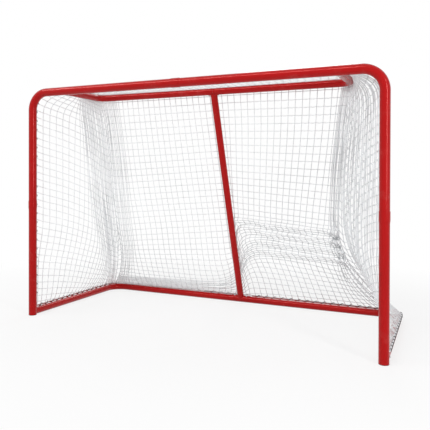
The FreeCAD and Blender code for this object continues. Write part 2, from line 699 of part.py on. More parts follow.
post_button = snap_button("right_post_button", "Derived.post_bore", "Derived.socket_radius",
                          post_spot, rearward)
post_spring = snap_spring("right_post_spring", "Derived.post_bore", post_spot, rearward, (0, 0, 1))
locks = [
    post_button, mirror("left_post_button", post_button),
    post_spring, mirror("left_post_spring", post_spring),
    snap_button("crossbar_button", "Derived.post_bore", "Derived.socket_radius",
                crossbar_spot, rearward),
    snap_spring("crossbar_spring", "Derived.post_bore", crossbar_spot, rearward, rightward),
    snap_button("brace_low_button", "Derived.spigot_bore", "Derived.rear_radius",
                low_spot, rightward),
    snap_spring("brace_low_spring", "Derived.spigot_bore", low_spot, rightward, brace_way),
    snap_button("brace_top_button", "Derived.spigot_bore", "Derived.rear_radius",
                top_spot, rightward),
    snap_spring("brace_top_spring", "Derived.spigot_bore", top_spot, rightward, brace_down),
]


# Lacing rods: thin rods on short standoffs behind the tubes, which the net is laced to
def add_standoffs(body, spots, way, reach):
    for index, spot in enumerate(spots, 1):
        add_round(body, f"Standoff{index}", "Additive", "Sizes.standoff_radius", reach, spot, way)


def bent_rod(label, path_role, level, start, centre, bend, end, section_role, section_level, section_at):
    body = new_body(label)
    path = new_sketch(body, "Path", path_role, level)
    draw_bend(path, start, centre, bend, end)
    section = new_sketch(body, "Section", section_role, section_level)
    draw_rings(section, *section_at, ["Derived.rod_radius"])
    add_pipe(body, "Rod", path, section)
    return body


def straight_rod(label, at, way, length):
    body = new_body(label)
    add_round(body, "Rod", "Additive", "Derived.rod_radius", length, at, way)
    return body


behind = "Derived.rod_behind"
back_to_front = (0, -1, 0)
post_rod = straight_rod("right_post_rod", ("Derived.post_x", behind, "62"), (0, 0, 1),
                        "Derived.socket_base - 76")
add_standoffs(post_rod, [("Derived.post_x", behind, height) for height in ("90", "310", "540")],
              back_to_front, "Sizes.rod_standoff")
corner_rod = bent_rod(
    "right_corner_rod", "XZ_Plane", "-Derived.rod_behind",
    ("Sizes.shelf_half_width + Derived.arm_clear", "Derived.crossbar_z"),
    ("Derived.post_centre_x", "Derived.post_centre_z"), "Sizes.post_bend",
    ("Derived.post_x", "Sizes.post_lip + 16"),
    "YZ_Plane", "Sizes.shelf_half_width + Derived.arm_clear", (behind, "Derived.crossbar_z"),
)
add_standoffs(corner_rod, [("Derived.post_x", behind, height) for height in ("690", "900", "1110")]
              + [("Sizes.shelf_half_width + 60", behind, "Derived.crossbar_z")],
              back_to_front, "Sizes.rod_standoff")
crossbar_rods = []
for label, side, inner in (("right_crossbar_rod", "", "8"), ("left_crossbar_rod", "-", "86")):
    outer_end = "(Sizes.shelf_half_width - Derived.arm_clear)"
    crossbar_rod = straight_rod(
        label, (f"{side}{inner}", behind, "Derived.crossbar_z"),
        (1 if side == "" else -1, 0, 0), f"{outer_end} - {inner}",
    )
    add_standoffs(crossbar_rod,
                  [(f"{side}{reach}", behind, "Derived.crossbar_z") for reach in ("110", "390", "680")],
                  back_to_front, "Sizes.rod_standoff")
    crossbar_rods.append(crossbar_rod)
rod_out = "Derived.rod_diagonal"
inward = -math.sqrt(0.5)
base_rod = bent_rod(
    "right_base_rod", "XY_Plane", f"Derived.rear_radius + {rod_out}",
    ("64", f"Sizes.goal_depth + {rod_out}"), ("Derived.base_centre_x", "Derived.base_centre_y"),
    f"Sizes.base_bend + {rod_out}", ("Derived.rod_front_x", "Derived.rod_front_y"),
    "YZ_Plane", "64", (f"Sizes.goal_depth + {rod_out}", f"Derived.rear_radius + {rod_out}"),
)
add_standoffs(base_rod, [(reach, f"Sizes.goal_depth + {rod_out}", f"Derived.rear_radius + {rod_out}")
                         for reach in ("90", "340", "590", "820")],
              (0, inward, inward), "Sizes.rod_standoff")
for index, reach in enumerate((60, 320, 580), 1):
    spot = (f"Derived.rod_front_x - {reach} * sin(Derived.base_tilt)",
            f"Derived.rod_front_y + {reach} * cos(Derived.base_tilt)",
            f"Derived.rear_radius + {rod_out}")
    add_round(base_rod, f"SideStandoff{index}", "Additive", "Sizes.standoff_radius",
              "Sizes.rod_standoff", spot, (inward * side_way[0], inward * side_way[1], inward))
shelf_rod = bent_rod(
    "right_shelf_rod", "XY_Plane", f"Derived.shelf_z + {rod_out}",
    ("8", f"Sizes.shelf_depth + {rod_out}"), ("Derived.shelf_centre_x", "Derived.shelf_centre_y"),
    f"Sizes.shelf_bend + {rod_out}", (f"Sizes.shelf_half_width + {rod_out}", "48"),
    "YZ_Plane", "8", (f"Sizes.shelf_depth + {rod_out}", f"Derived.shelf_z + {rod_out}"),
)
add_standoffs(shelf_rod, [(reach, f"Sizes.shelf_depth + {rod_out}", f"Derived.shelf_z + {rod_out}")
                          for reach in ("30", "340", "660")],
              (0, inward, inward), "Sizes.rod_standoff")
for index, depth in enumerate(("70", "300"), 1):
    add_round(shelf_rod, f"SideStandoff{index}", "Additive", "Sizes.standoff_radius",
              "Sizes.rod_standoff",
              (f"Sizes.shelf_half_width + {rod_out}", depth, f"Derived.shelf_z + {rod_out}"),
              (inward, 0, inward))
for rod in [post_rod, corner_rod, base_rod, shelf_rod] + crossbar_rods:
    place(rod)
left_rods = [
    mirror("left_post_rod", post_rod),
    mirror("left_corner_rod", corner_rod),
    mirror("left_base_rod", base_rod),
    mirror("left_shelf_rod", shelf_rod),
]


# The net: top, back and two sides, each a thin closed sheet through a grid of points
def facet(*corners):
    return Part.Face(Part.makePolygon(list(corners) + [corners[0]]))


def net_panel(label, rows, offset, across, down):
    """A sheet with one skin through the rows of points and the other an offset away, opened across and down."""
    far_rows = [[spot + offset for spot in row] for row in rows]
    faces = []
    for grid in (rows, far_rows):
        for upper, lower in zip(grid, grid[1:]):
            for index in range(len(upper) - 1):
                faces.append(facet(upper[index], upper[index + 1], lower[index]))
                faces.append(facet(upper[index + 1], lower[index + 1], lower[index]))
    near_rim = rim_of(rows)
    far_rim = rim_of(far_rows)
    for index in range(len(near_rim)):
        following = (index + 1) % len(near_rim)
        faces.append(facet(near_rim[index], near_rim[following], far_rim[index]))
        faces.append(facet(near_rim[following], far_rim[following], far_rim[index]))
    solid = Part.makeSolid(Part.makeShell(faces))
    if solid.Volume < 0:
        solid.reverse()
    sheet = document.addObject("Part::Feature", f"{label}_sheet")
    sheet.Label = f"{label}_sheet"
    sheet.Shape = solid
    sheet.Placement = FreeCAD.Placement(Vector(0, number("Derived.mouth_line_y"), 0), Rotation())
    meshes = document.addObject("Part::Feature", f"{label}_meshes")
    meshes.Label = f"{label}_meshes"
    meshes.Shape = Part.makeCompound(mesh_prisms(rows, across, down, Vector(offset).normalize()))
    meshes.Placement = sheet.Placement
    panel = document.addObject("Part::Cut", label)
    panel.Label = label
    panel.Base = sheet
    panel.Tool = meshes
    panel.Refine = False
    return panel


def line_spot(points, share):
    """The point at a share of a line's length."""
    left = share * line_length(points)
    for before, after in zip(points, points[1:]):
        length = (after - before).Length
        if left <= length:
            return before + (after - before) * (left / length)
        left -= length
    return points[-1]


def line_length(points):
    return sum((after - before).Length for before, after in zip(points, points[1:]))


def mesh_prisms(rows, across, down, way):
    """Prisms along a way, one for each opening of the coarse grid that stands for the net's meshes."""
    middle_row = rows[len(rows) // 2]
    middle_column = [row[len(row) // 2] for row in rows]
    prisms = []
    for column in range(across):
        sides = mesh_shares(column, across, line_length(middle_row))
        for line in range(down):
            levels = mesh_shares(line, down, line_length(middle_column))
            corners = []
            for side, level in ((0, 0), (1, 0), (1, 1), (0, 1)):
                spot = line_spot([line_spot(row, sides[side]) for row in rows], levels[level])
                corners.append(spot - way * (spot.dot(way) + 1500))
            prisms.append(facet(*corners).extrude(way * 3000))
    return prisms


def mesh_shares(index, count, length):
    """Where one opening begins and ends, as shares of the panel's length."""
    border = number("Sizes.net_border") / length
    bar = number("Sizes.net_bar") / 2 / length
    step = (1 - 2 * border) / count
    return border + step * index + bar, border + step * (index + 1) - bar


def rim_of(rows):
    right_edge = [row[-1] for row in rows[1:-1]]
    left_edge = [row[0] for row in rows[1:-1]]
    return rows[0] + right_edge + rows[-1][::-1] + left_edge[::-1]


def around_corner(reach, centre, radius, along):
    """The depth of a lacing rod's outer edge, straight and then round its corner."""
    past = max(0.0, reach - centre)
    return along + math.sqrt(radius ** 2 - past ** 2)


BRACE_FLAT = 8.0
brace_slope = math.tan(math.radians(number("Derived.brace_lean")))
brace_behind = number("Derived.rear_radius") * math.hypot(1, brace_slope) + number("Sizes.net_gap")
rod_edge = number("Sizes.shelf_bend + Derived.rod_diagonal + Derived.rod_radius + Sizes.net_gap")
shelf_centre_x = number("Derived.shelf_centre_x")
shelf_centre_y = number("Derived.shelf_centre_y")
shelf_height = number("Derived.shelf_z")
rod_skin = number("Derived.rod_radius") + number("Sizes.net_gap")


def back_point(share, step):
    """A point of the net's back: share runs from the brace's edge to the corner."""
    depth, height = HANG[step]
    corner_x, corner_depth, corner_height = CORNER[step]
    ease = share ** 3
    reach = BRACE_FLAT + (corner_x - BRACE_FLAT) * share
    level = height + (corner_height - height) * ease
    if step == 0:
        return Vector(reach, around_corner(reach, shelf_centre_x, rod_edge, shelf_centre_y), level)
    hanging = depth + (corner_depth - depth) * ease
    pushed = number("Sizes.shelf_depth") + (shelf_height - level) * brace_slope + brace_behind
    return Vector(reach, max(hanging, pushed - (reach - BRACE_FLAT)), level)


def mirrored(spot):
    return Vector(-spot.x, spot.y, spot.z)


BACK_SHARES = (0.0, 0.07, 0.14, 0.22, 0.32, 0.45, 0.65, 0.85, 0.93, 0.97, 1.0)
thickness = number("Sizes.net_thickness")
back_rows = []
for step in range(len(HANG)):
    half_row = [back_point(share, step) for share in BACK_SHARES]
    back_rows.append([mirrored(spot) for spot in reversed(half_row)] + half_row)
back_net = net_panel("back_net", back_rows, Vector(0, thickness, 0), 10, 9)

crossbar_height = number("Derived.crossbar_z")
shelf_top = shelf_height + number("Derived.rear_radius") + number("Sizes.net_gap")
front_y = number("Derived.rod_behind") + rod_skin
rear_y = number("Sizes.shelf_depth") + number("Derived.rod_diagonal") - rod_skin
arm_inner = number("Sizes.shelf_half_width") - number("Derived.rear_radius") - 8
arm_outer = number("Sizes.shelf_half_width") + number("Derived.rod_diagonal") - rod_skin
TOP_DEPTHS = (front_y, 90.0, 200.0, shelf_centre_y, 345.0, 372.0, 388.0, rear_y)
TOP_REACHES = (0.0, 280.0, 560.0, 640.0, arm_inner, arm_outer)


def top_point(reach, depth):
    """A point of the top sheet, which rises from the crossbar's rod to pass over the shelf tubes."""
    inside = arm_outer - shelf_centre_x
    past = min(inside, max(0.0, depth - shelf_centre_y))
    outer = shelf_centre_x + math.sqrt(inside ** 2 - past ** 2)
    climb = min(1.0, (depth - front_y) / (345.0 - front_y))
    low = crossbar_height + (shelf_top - crossbar_height) * climb
    over_arm = min(1.0, max(0.0, (reach - 560.0) / (arm_inner - 560.0)))
    return Vector(reach * outer / arm_outer, depth, low + (shelf_top - low) * over_arm)


top_rows = []
for depth in TOP_DEPTHS:
    half_row = [top_point(reach, depth) for reach in TOP_REACHES]
    top_rows.append([mirrored(spot) for spot in reversed(half_row[1:])] + half_row)
top_net = net_panel("top_net", top_rows, Vector(0, 0, thickness), 10, 3)

# How far down the mouth's edge each step of the corner is laced
FRONT_SHARES = (0.0, 0.12, 0.31, 0.5, 0.62, 0.73, 0.84, 0.94, 1.0)
SIDE_SHARES = (0.0, 0.07, 0.3, 0.55, 0.8, 0.9, 1.0)
SIDE_SLACK = 26.0
arm_rod_x = number("Sizes.shelf_half_width") + number("Derived.rod_diagonal") + rod_skin
corner_rod_x = number("Sizes.shelf_half_width") + number("Derived.arm_clear")


def front_line(share):
    """The side net's front edge, from the shelf's arm round the bend and down the post."""
    bend = number("Sizes.post_bend")
    across_run = number("Derived.post_centre_x") - corner_rod_x
    bend_run = bend * math.pi / 2
    down_run = number("Derived.post_centre_z") - 62.0
    along = share * (across_run + bend_run + down_run)
    if along < across_run:
        return Vector(corner_rod_x + along, front_y, crossbar_height)
    turn = min(along - across_run, bend_run) / bend
    down = max(0.0, along - across_run - bend_run)
    return Vector(number("Derived.post_centre_x") + bend * math.sin(turn), front_y,
                  number("Derived.post_centre_z") + bend * math.cos(turn) - down)


def side_point(share, step):
    """A point of the side net: share runs from the mouth's edge to the back corner."""
    front = front_line(FRONT_SHARES[step])
    if step == 0 and share > 0:
        return arm_edge(share)
    corner_x, corner_depth, corner_height = CORNER[step]
    corner = Vector(corner_x + 1.5, corner_depth, corner_height)
    free = math.sin(math.pi * share) * math.sin(math.pi * step / (len(CORNER) - 1))
    return front + (corner - front) * share + Vector(-SIDE_SLACK * free, 0, -SIDE_SLACK * free)


def arm_edge(share):
    """A point of the side net's top edge, along the shelf arm's rod and half round its corner."""
    first, last = SIDE_SHARES[1], SIDE_SHARES[-3]
    height = CORNER[0][2]
    if share <= last:
        depth = 50.0 + (shelf_centre_y - 50.0) * (share - first) / (last - first)
        return Vector(arm_rod_x, depth, height)
    turn = math.radians(45.0 * (share - last) / (1 - last))
    radius = arm_rod_x - shelf_centre_x + 1.5 * math.sin(turn)
    return Vector(shelf_centre_x + radius * math.cos(turn) + 1.0,
                  shelf_centre_y + radius * math.sin(turn), height)


side_rows = [[side_point(share, step) for share in SIDE_SHARES] for step in range(len(CORNER))]
right_side_net = net_panel("right_side_net", side_rows, Vector(thickness, 0, 0), 4, 9)
left_rows = [[mirrored(spot) for spot in row] for row in side_rows]
left_side_net = net_panel("left_side_net", left_rows, Vector(-thickness, 0, 0), 4, 9)

pieces = [
    left_frame, right_frame, left_post, right_post, left_plug, right_plug,
    left_base_bar, base_bar, left_shelf_bar, shelf_bar, brace,
    left_foot_spigot, foot_spigot, left_shelf_spigot, shelf_spigot,
    base_splice, shelf_splice, base_saddle, shelf_saddle,
    base_screws, shelf_screws, foot_screws, arm_screws,
    post_rod, corner_rod, base_rod, shelf_rod,
    top_net, back_net, left_side_net, right_side_net,
] + locks + left_rods + crossbar_rods

document.recompute()
for item in document.Objects:
    if "Invalid" in item.State or "Error" in item.State:
        raise RuntimeError(f"{item.Label} did not recompute: {item.State}")
for piece in pieces:
    if piece.Shape.isNull() or not piece.Shape.isValid():
        raise RuntimeError(f"{piece.Label} has no valid shape")

os.makedirs("parts", exist_ok=True)
for piece in pieces:
    piece.Shape.exportStep(f"parts/{piece.Label}.step")
print(len(pieces), "pieces written")
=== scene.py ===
import math

import bpy
import numpy as np
from bpy.props import FloatProperty, FloatVectorProperty, IntProperty, PointerProperty
from bpy.types import NodeSocket, Operator, Panel, PropertyGroup
from mathutils import Matrix, Vector


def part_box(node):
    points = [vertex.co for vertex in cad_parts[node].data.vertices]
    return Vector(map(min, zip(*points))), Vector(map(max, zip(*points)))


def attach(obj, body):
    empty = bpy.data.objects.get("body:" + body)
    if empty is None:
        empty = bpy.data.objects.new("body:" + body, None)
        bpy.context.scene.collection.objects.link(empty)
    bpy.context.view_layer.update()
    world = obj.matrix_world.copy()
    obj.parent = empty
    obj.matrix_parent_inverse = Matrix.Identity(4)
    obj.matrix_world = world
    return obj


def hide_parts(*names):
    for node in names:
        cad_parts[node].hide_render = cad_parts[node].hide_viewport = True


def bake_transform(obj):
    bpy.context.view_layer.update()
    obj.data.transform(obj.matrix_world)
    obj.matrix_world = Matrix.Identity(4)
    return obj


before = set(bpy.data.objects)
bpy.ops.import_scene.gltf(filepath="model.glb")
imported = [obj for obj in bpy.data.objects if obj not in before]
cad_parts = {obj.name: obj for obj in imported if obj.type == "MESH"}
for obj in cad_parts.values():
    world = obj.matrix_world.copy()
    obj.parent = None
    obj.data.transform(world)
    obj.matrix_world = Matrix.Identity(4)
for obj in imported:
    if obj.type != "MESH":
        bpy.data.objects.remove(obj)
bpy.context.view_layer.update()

bl_info = {
    "name": "Ice hockey goal net",
    "version": (1, 0, 0),
    "blender": (4, 5, 0),
    "location": "3D View > Sidebar > Hockey goal",
    "description": "Dresses the packed hockey goal: painted tubes, knotted netting, lacing and studio",
    "category": "Object",
}

BODY = "goal_frame"

# Sizes of the solids in the frame, in metres
ROD_R = 0.0025
BAR_R = 0.01905
POST_R = 0.02225
SHELF_DEPTH = 0.38
GOAL_DEPTH = 0.825
SHELF_BAR_X, SHELF_BAR_Z = 0.738, 1.24445
BASE_BAR_X = 0.9222
POST_BEND, SHELF_BEND, BASE_BEND = 0.095, 0.06, 0.09

# How far the back brace leans: its run over its rise
BRACE_LEAN = 0.445 / 1.2254


def middle(node, axis):
    """The middle of a solid along one axis."""
    return sum(corner[axis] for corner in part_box(node)) / 2


# Places read from the frame. The base rods stand further apart at the front than at their corners.
POST_X, MOUTH = middle("right_lower_post", 0), middle("right_lower_post", 1)
FRONT_ROD_Y = middle("right_post_rod", 1)
CROSSBAR_Z = middle("right_crossbar_rod", 2)
ARM_X, SHELF_Y, SHELF_Z = (part - ROD_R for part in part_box("right_shelf_rod")[1])
BASE_FRONT_X, BASE_Y, BASE_Z = (part - ROD_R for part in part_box("right_base_rod")[1])
BASE_SPREAD = 0.014
BASE_CORNER_X = BASE_FRONT_X - BASE_SPREAD

# Round corners of the rods, and where the front and rear rods end
SHELF_CORNER, BASE_CORNER = 0.0791, 0.1091
FRONT_FOOT, ARM_FRONT, BASE_FRONT = 0.062, 0.048, 0.0445

# The net's size in bars. Its edge runs EDGE beside a rod, and SHELF_DROP below the shelf rods.
ROWS, BACK_COLUMNS = 46, 29
SIDE_ROWS, SIDE_COLUMNS, CRUMPLED_COLUMNS = 39, 32, 44
TOP_ROWS, TOP_COLUMNS = 10, 40
EDGE = 0.0045
SHELF_DROP = 0.002
SEAM_CORD = 0.0052

# How the net hangs. Periods are in bars, depths in metres.
TOP_PITCH = 0.0376
ROW_PITCH = 0.0385
PLEAT_PERIOD = 2.6
BACK_PLEAT, FOLDED_PLEAT = 0.015, 0.010
SIDE_PLEAT, CRUMPLED_PLEAT = 0.018, 0.022
FOLD_PERIOD, FOLD_DEPTH, FOLD_SWAY = 4.4, 0.044, 0.010

# How it settles: a step's fall, the speed that is kept, the pull to the drawn shape, and its clearances
WEIGHT, KEPT_SPEED, KINK_EASE = 0.00035, 0.9, 0.2
MEMORY, TOP_MEMORY = 0.025, 0.05
TUBE_GAP, FLOOR_GAP, BRACE_GAP = 0.002, 0.004, 0.0022
UNEVENNESS = 0.0014
TIGHTENINGS, QUICK_STEPS = 12, 20

# The crease where back and side meet, as (half width, depth, height), from the shelf bar to the base bar.
CREASE = ((0.736, 0.378, 1.2606), (0.712, 0.407, 1.110), (0.684, 0.412, 0.850), (0.668, 0.424, 0.610),
          (0.664, 0.452, 0.464), (0.692, 0.534, 0.344), (0.752, 0.640, 0.232), (0.838, 0.752, 0.116),
          (0.899, 0.812, 0.044))

# The leaf springs, and the bend at their far end as (across the tube, along it)
SPRING_STRIP, SPRING_WIDTH, SPRING_TAIL = 0.0008, 0.0070, 0.0070
SPRING_BEND = ((0.0020, 0.0460), (0.0013, 0.0467), (0.0, 0.0472), (-0.0013, 0.0467), (-0.0020, 0.0460))

# The studio's lamps: name, place, what they point at, size and power
LAMPS = (("top_light", (-1.9, -3.1, 4.2), (-1.1, -0.4, 1.0), (5.0, 0.35), 140),
         ("side_light", (3.3, -2.4, 1.7), (0.0, -0.2, 0.8), (0.5, 2.4), 62),
         ("back_light", (-0.6, 3.6, 3.6), (0.0, 0.2, 0.6), (1.5, 1.5), 40))
CAMERA_SENSOR, CAMERA_SHIFT = 36.0, (0.0705, -0.0878)


def size_of(name, description, default, low, high):
    return FloatProperty(name=name, description=description, default=default, min=low, max=high,
                         unit="LENGTH")


def colour_of(name, description, default):
    return FloatVectorProperty(name=name, description=description, default=default, size=3, min=0, max=1,
                               subtype="COLOR")


def angle_of(name, description, default):
    return FloatProperty(name=name, description=description, default=default, subtype="ANGLE",
                         unit="ROTATION")


class NettingSizes(PropertyGroup):
    pitch: size_of("Mesh size", "Length of one bar between two knots", 0.0400, 0.02, 0.08)
    twine: size_of("Twine", "Thickness of the netting twine", 0.0038, 0.001, 0.006)
    knot: size_of("Knot", "Width of one knot", 0.0062, 0.002, 0.012)
    rope: size_of("Edge cord", "Thickness of the cord along the net's edge", 0.005, 0.002, 0.01)
    colour: colour_of("Twine colour", "Colour of the netting and its edge cord", (0.865, 0.88, 0.895))
    steps: IntProperty(name="Settling steps", description="How long the net settles under its own weight",
                       default=160, min=10, max=600)


class LacingSizes(PropertyGroup):
    pitch: size_of("Lacing pitch", "Distance between two wraps round the rod", 0.05, 0.02, 0.12)
    cord: size_of("Lacing cord", "Thickness of the lacing cord", 0.0035, 0.002, 0.008)
    colour: colour_of("Lacing colour", "Colour of the lacing cord", (0.12, 0.12, 0.125))


class FinishColours(PropertyGroup):
    paint: colour_of("Paint", "Colour of the gloss paint on the tubes", (0.385, 0.0035, 0.0045))
    plug: colour_of("Foot plugs", "Colour of the moulded foot plugs", (0.018, 0.018, 0.02))
    steel: colour_of("Steel", "Colour of the bare steel inside the joints", (0.42, 0.41, 0.40))


class StudioSizes(PropertyGroup):
    lens: FloatProperty(name="Lens", description="Focal length of the camera, in millimetres",
                        default=47.70, min=10, max=200)
    place: FloatVectorProperty(name="Camera", description="Where the camera stands", size=3,
                               default=(1.2217, -2.9138, 0.7997), subtype="TRANSLATION", unit="LENGTH")
    yaw: angle_of("Turn", "How far the camera looks to the left", 0.4511)
    pitch: angle_of("Tilt", "How far the camera looks up", -0.0081)
    roll: angle_of("Roll", "How far the camera leans", 0.0022)
    daylight: FloatProperty(name="Room light", description="Strength of the even light all round",
                            default=0.42, min=0, max=2)


# Node helpers

def fill(tree, node, values):
    """Puts values, or links from other nodes, on a node's input sockets."""
    for socket, value in values.items():
        if isinstance(value, NodeSocket):
            tree.links.new(value, node.inputs[socket])
        else:
            node.inputs[socket].default_value = value
    return node


def add_node(tree, kind, values=None, **settings):
    """One node with its settings and its inputs."""
    made = tree.nodes.new(kind)
    for name, value in settings.items():
        setattr(made, name, value)
    return fill(tree, made, values or {})


def geo(tree, kind, values=None, **settings):
    """The first output of one geometry node."""
    return add_node(tree, "GeometryNode" + kind, values, **settings).outputs[0]


def math_node(tree, operation, *terms):
    """The answer of one sum on numbers or sockets."""
    return add_node(tree, "ShaderNodeMath", dict(enumerate(terms)), operation=operation).outputs[0]


def vector_node(tree, operation, *terms, **named):
    """The answer of one sum on vectors."""
    made = add_node(tree, "ShaderNodeVectorMath", {**dict(enumerate(terms)), **named}, operation=operation)
    return made.outputs["Value" if operation == "LENGTH" else "Vector"]


def noise(tree, place, scale, detail, roughness):
    return add_node(tree, "ShaderNodeTexNoise", {
        "Vector": place, "Scale": scale, "Detail": detail, "Roughness": roughness}).outputs["Fac"]


def ranged(tree, value, low=0.0, high=1.0, start=0.0, end=1.0):
    """A number between start and end, carried to the range from low to high."""
    return add_node(tree, "ShaderNodeMapRange", {
        "Value": value, "From Min": start, "From Max": end, "To Min": low, "To Max": high}).outputs[0]


def object_place(tree):
    return add_node(tree, "ShaderNodeTexCoord").outputs["Object"]


def background_rays(tree):
    """One for the rays that should see a white background: the camera's, and those of gloss and glass."""
    seen = add_node(tree, "ShaderNodeLightPath").outputs
    camera = math_node(tree, "MAXIMUM", seen["Is Camera Ray"], seen["Is Glossy Ray"])
    return math_node(tree, "MAXIMUM", camera, seen["Is Transmission Ray"])


def shared(name):
    """Marks the builder of a node group, which is built once and found by its name after that."""
    def once(build):
        return lambda: bpy.data.node_groups.get(name) or build(name)
    return once


def node_group(name, kind, inputs, outputs):
    """A node group with named sockets: the tree, the sockets that it is given, and its end node."""
    tree = bpy.data.node_groups.new(name, kind)
    for label, form, value in inputs:
        socket = tree.interface.new_socket(label, in_out="INPUT", socket_type="NodeSocket" + form)
        if value is not None:
            socket.default_value = value
    for label, form in outputs:
        tree.interface.new_socket(label, in_out="OUTPUT", socket_type="NodeSocket" + form)
    return tree, tree.nodes.new("NodeGroupInput").outputs, tree.nodes.new("NodeGroupOutput")


# Effects that several materials share

@shared("Colour drift")
def drift_group(name):
    """Slow patches of lighter and darker colour over a surface."""
    tree, given, result = node_group(
        name, "ShaderNodeTree",
        [("Color", "Color", (0.5, 0.5, 0.5, 1)), ("Scale", "Float", 8.0), ("Amount", "Float", 0.1)],
        [("Color", "Color")])
    patches = noise(tree, object_place(tree), given["Scale"], 5.0, 0.55)
    swing = math_node(tree, "MULTIPLY", math_node(tree, "SUBTRACT", patches, 0.5), given["Amount"])
    value = math_node(tree, "MULTIPLY_ADD", swing, 2.0, 1.0)
    tinted = add_node(tree, "ShaderNodeHueSaturation", {"Value": value, "Color": given["Color"]})
    fill(tree, result, {"Color": tinted.outputs["Color"]})
    return tree


@shared("Handling wear")
def wear_group(name):
    """A mask of small scuffs, with thin scratches among them."""
    tree, given, result = node_group(
        name, "ShaderNodeTree", [("Scale", "Float", 14.0), ("Amount", "Float", 0.2)], [("Mask", "Float")])
    place = object_place(tree)
    stretched = add_node(tree, "ShaderNodeMapping", {"Vector": place, "Scale": (260.0, 260.0, 22.0)})
    patch = ranged(tree, noise(tree, place, given["Scale"], 6.0, 0.7), start=0.56, end=0.72)
    scratch = ranged(tree, noise(tree, stretched.outputs["Vector"], 1.0, 2.0, 0.5), start=0.62, end=0.70)
    both = math_node(tree, "MULTIPLY", patch, scratch)
    soft = math_node(tree, "MULTIPLY", patch, 0.35)
    mask = math_node(tree, "MULTIPLY", math_node(tree, "ADD", both, soft), given["Amount"])
    fill(tree, result, {"Mask": mask})
    return tree


@shared("Fine grain")
def grain_group(name):
    """A fine height for bumps: the ripple of sprayed paint, cast skin or brushed metal."""
    tree, given, result = node_group(
        name, "ShaderNodeTree", [("Scale", "Float", 300.0), ("Stretch", "Vector", (1.0, 1.0, 1.0))],
        [("Height", "Float")])
    stretched = vector_node(tree, "MULTIPLY", object_place(tree), given["Stretch"])
    fill(tree, result, {"Height": noise(tree, stretched, given["Scale"], 3.0, 0.5)})
    return tree


@shared("Braid")
def braid_group(name):
    """The braid of a cord, from where a point is along and round its strand: a relief for bumps, and painted
    shade that darkens the grooves between the strands and lightens their crowns a little.
    """
    tree, given, result = node_group(
        name, "ShaderNodeTree", [("Stitch", "Float", 0.0022), ("Strands", "Float", 4.0)],
        [("Height", "Float"), ("Shade", "Float")])
    strand = add_node(tree, "ShaderNodeAttribute", attribute_name="strand", attribute_type="GEOMETRY")
    parts = add_node(tree, "ShaderNodeSeparateXYZ", {"Vector": strand.outputs["Vector"]}).outputs
    turns = math_node(tree, "MULTIPLY", math_node(tree, "ARCTAN2", parts["Y"], parts["X"]), given["Strands"])
    run = math_node(tree, "MULTIPLY", math_node(tree, "DIVIDE", parts["Z"], given["Stitch"]), 2 * math.pi)
    left, right = (math_node(tree, "SINE", math_node(tree, way, run, turns)) for way in ("ADD", "SUBTRACT"))
    height = math_node(tree, "MULTIPLY_ADD", math_node(tree, "MAXIMUM", left, right), 0.5, 0.5)
    # Shade is painted shade: the braid's grooves are drawn darker in the colour and its crowns a little
    # lighter.
    fill(tree, result, {"Height": height, "Shade": ranged(tree, height, 0.78, 1.04, 0.1, 0.9)})
    return tree


# Materials

def new_material(name):
    """A material with its tree and its Principled shader."""
    made = bpy.data.materials.new(name)
    made.use_nodes = True
    return made, made.node_tree, made.node_tree.nodes["Principled BSDF"]


def place_group(tree, group, **values):
    """A shared effect placed in one material with its own values."""
    return add_node(tree, "ShaderNodeGroup", values, node_tree=group).outputs


def bumped(tree, height, strength, distance):
    return add_node(tree, "ShaderNodeBump", {
        "Strength": strength, "Distance": distance, "Height": height}).outputs["Normal"]


def opaque(colour):
    return (*tuple(colour)[:3], 1.0)


def worn_surface(name, colour, worn, drift, wear, grain, bump, dull, dull_where_worn=False, finish=None):
    """A hard surface with fine grain. Its colour drifts a little, and turns to another where it is worn."""
    material, tree, shader = new_material(name)
    drifted = place_group(tree, drift_group(), Color=opaque(colour), Scale=drift[0], Amount=drift[1])["Color"]
    mask = place_group(tree, wear_group(), Scale=wear[0], Amount=wear[1])["Mask"]
    height = place_group(tree, grain_group(), Scale=grain[0], Stretch=grain[1])["Height"]
    mixed = add_node(tree, "ShaderNodeMix", {"Factor": mask, 6: drifted, 7: opaque(worn)}, data_type="RGBA")
    fill(tree, shader, {"Base Color": mixed.outputs[2],
                        "Roughness": ranged(tree, mask if dull_where_worn else height, *dull),
                        "Normal": bumped(tree, height, *bump), **(finish or {})})
    return material


EVEN = (1.0, 1.0, 1.0)


def red_paint(colour):
    """Gloss paint on steel tube, with the slight ripple of a sprayed coat and a few dull scuffs."""
    return worn_surface("red_gloss_paint", colour, (0.42, 0.10, 0.09), (6.0, 0.10), (12.0, 0.55),
                        (160.0, EVEN), (0.10, 0.0006), (0.19, 0.60), True,
                        {"Specular Tint": (1.0, 0.22, 0.20, 1), "Coat Weight": 0.06, "Coat Roughness": 0.12})


def metal(name, colour, roughness, stretch, wear_amount):
    """Plain metal with fine drawn or turned marks."""
    return worn_surface(name, colour, [0.45 * part for part in colour], (60.0, 0.22), (70.0, wear_amount),
                        (420.0, stretch), (0.15, 0.0002), (roughness - 0.08, roughness + 0.12),
                        finish={"Metallic": 1.0})


def moulded_plastic(colour):
    """Black moulded plastic with a fine spark-eroded skin, rubbed a little where it stands on the floor."""
    return worn_surface("black_moulded_plastic", colour, (0.09, 0.09, 0.09), (30.0, 0.2), (45.0, 0.5),
                        (900.0, EVEN), (0.3, 0.0002), (0.42, 0.62))


